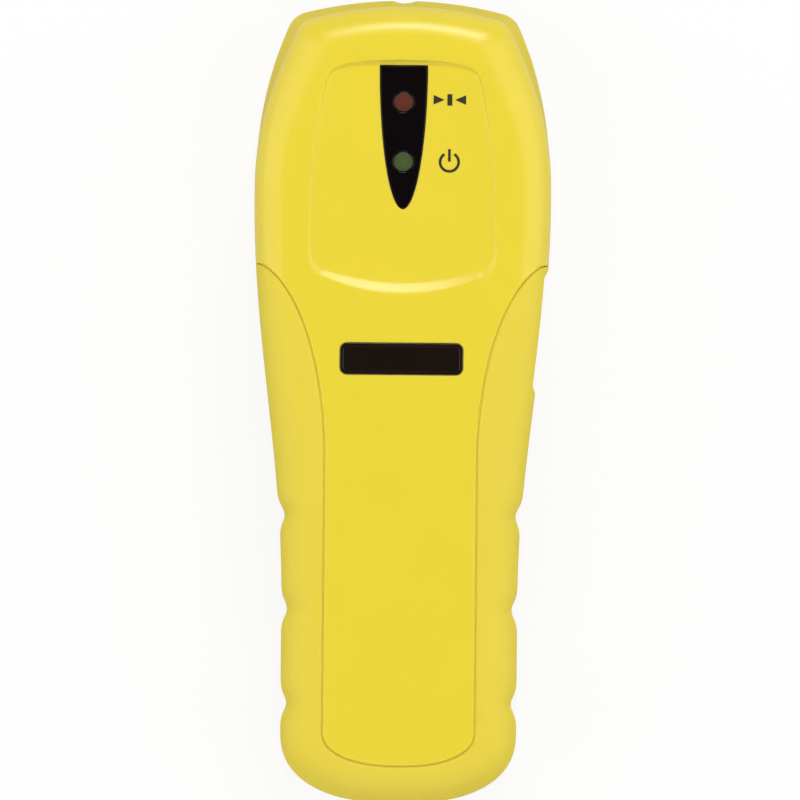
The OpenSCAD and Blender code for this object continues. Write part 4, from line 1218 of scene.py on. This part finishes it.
# Floor, light and camera
def seen_white(name, colour, bounce, share, reflected):
    """A pale surface that looks white to the camera and in reflections, and keeps a share of its shadow.

    The light that it throws back on the object is that of the duller colour bounce."""
    made = bpy.data.materials.new(name)
    made.use_nodes = True
    tree = made.node_tree
    tree.nodes.clear()
    path = add_node(tree, "ShaderNodeLightPath").outputs
    tone = add_node(tree, "ShaderNodeMix", {"data_type": "RGBA"}, {"Factor": path["Is Camera Ray"]})
    tone.inputs["A"].default_value = linear(bounce)
    tone.inputs["B"].default_value = linear(colour)
    paint = add_node(tree, "ShaderNodeBsdfDiffuse", None, {"Color": tone.outputs["Result"]})
    glow = add_node(tree, "ShaderNodeEmission", None, {"Color": linear("#ffffff"), "Strength": 1.0})
    direct = add_node(tree, "ShaderNodeMath", {"operation": "MULTIPLY"},
                      {0: path["Is Camera Ray"], 1: share})
    by_way = add_node(tree, "ShaderNodeMath", {"operation": "MAXIMUM"},
                      {0: path["Is Glossy Ray"], 1: path["Is Transmission Ray"]})
    white = add_node(tree, "ShaderNodeMath", {"operation": "MULTIPLY_ADD"},
                     {0: by_way.outputs[0], 1: reflected, 2: direct.outputs[0]})
    both = add_node(tree, "ShaderNodeMixShader", None,
                    {0: white.outputs[0], 1: paint.outputs[0], 2: glow.outputs[0]})
    add_node(tree, "ShaderNodeOutputMaterial", None, {"Surface": both.outputs[0]})
    return made


FLOOR_HALF = 1500.0
FLOOR_Z = -0.02
corners = [(-FLOOR_HALF, -FLOOR_HALF), (FLOOR_HALF, -FLOOR_HALF), (FLOOR_HALF, FLOOR_HALF),
           (-FLOOR_HALF, FLOOR_HALF)]
floor = object_of("floor", upright(corners, FLOOR_Z), [(0, 1, 2, 3)], turn_out=False)
floor.data.materials.append(seen_white("matt_paper", "#f4f4f4", "#c4c4c4", share=0.85, reflected=0.25))

# Soft boxes that face the object: name, place and size in metres, power in watts
LIGHTS = (
    ("light_left", (-1.2, 0.0, 0.85), (1.7, 2.0), 14.9),
    ("light_right", (1.2, 0.0, 0.85), (1.7, 2.0), 14.3),
    ("light_top", (0.12, 1.05, 0.95), (0.7, 0.35), 10.0),
    ("light_low", (0.0, -1.3, 0.9), (1.2, 0.6), 9.0),
)
for name, place, size, power in LIGHTS:
    lamp = bpy.data.lights.new(name, "AREA")
    lamp.shape = "RECTANGLE"
    lamp.size, lamp.size_y = size
    lamp.energy = power
    box = bpy.data.objects.new(name, lamp)
    box.location = place
    box.rotation_euler = Vector(place).to_track_quat("Z", "Y").to_euler()
    bpy.context.collection.objects.link(box)

# A white world that is brighter near the horizon, from the height at which it starts to fade
HORIZON_Z, FADE_Z = 0.12, 0.45
HORIZON_GLOW, TOP_GLOW = 0.4, 0.03
world = bpy.data.worlds.new("studio")
bpy.context.scene.world = world
world.use_nodes = True
sky = world.node_tree.nodes["Background"]
sky.inputs["Color"].default_value = linear("#ffffff")
way = add_node(world.node_tree, "ShaderNodeTexCoord").outputs["Generated"]
height = add_node(world.node_tree, "ShaderNodeSeparateXYZ", None, {"Vector": way}).outputs["Z"]
fade = add_node(world.node_tree, "ShaderNodeMapRange", {"interpolation_type": "SMOOTHSTEP"},
                {"Value": height, "From Min": HORIZON_Z, "From Max": FADE_Z,
                 "To Min": HORIZON_GLOW, "To Max": TOP_GLOW})
world.node_tree.links.new(fade.outputs["Result"], sky.inputs["Strength"])

# A far camera straight over the front: the photograph is this wide at the object's mid height
VIEW_MM = 160.0
MID_Z_MM = 15.0
CAMERA_FAR = 4.0
CAMERA_AIM_MM = (-0.21, 0.22)
CAMERA_ROLL = 0.00886
lens = bpy.data.cameras.new("camera")
lens.sensor_width = 36
lens.lens = lens.sensor_width * CAMERA_FAR / (VIEW_MM * MM)
lens.clip_end = 5 * CAMERA_FAR
camera = bpy.data.objects.new("camera", lens)
camera.location = (CAMERA_AIM_MM[0] * MM, CAMERA_AIM_MM[1] * MM, CAMERA_FAR + MID_Z_MM * MM)
camera.rotation_euler = (0, 0, CAMERA_ROLL)
bpy.context.collection.objects.link(camera)
bpy.context.scene.camera = camera
bpy.context.scene.view_settings.view_transform = "Standard"
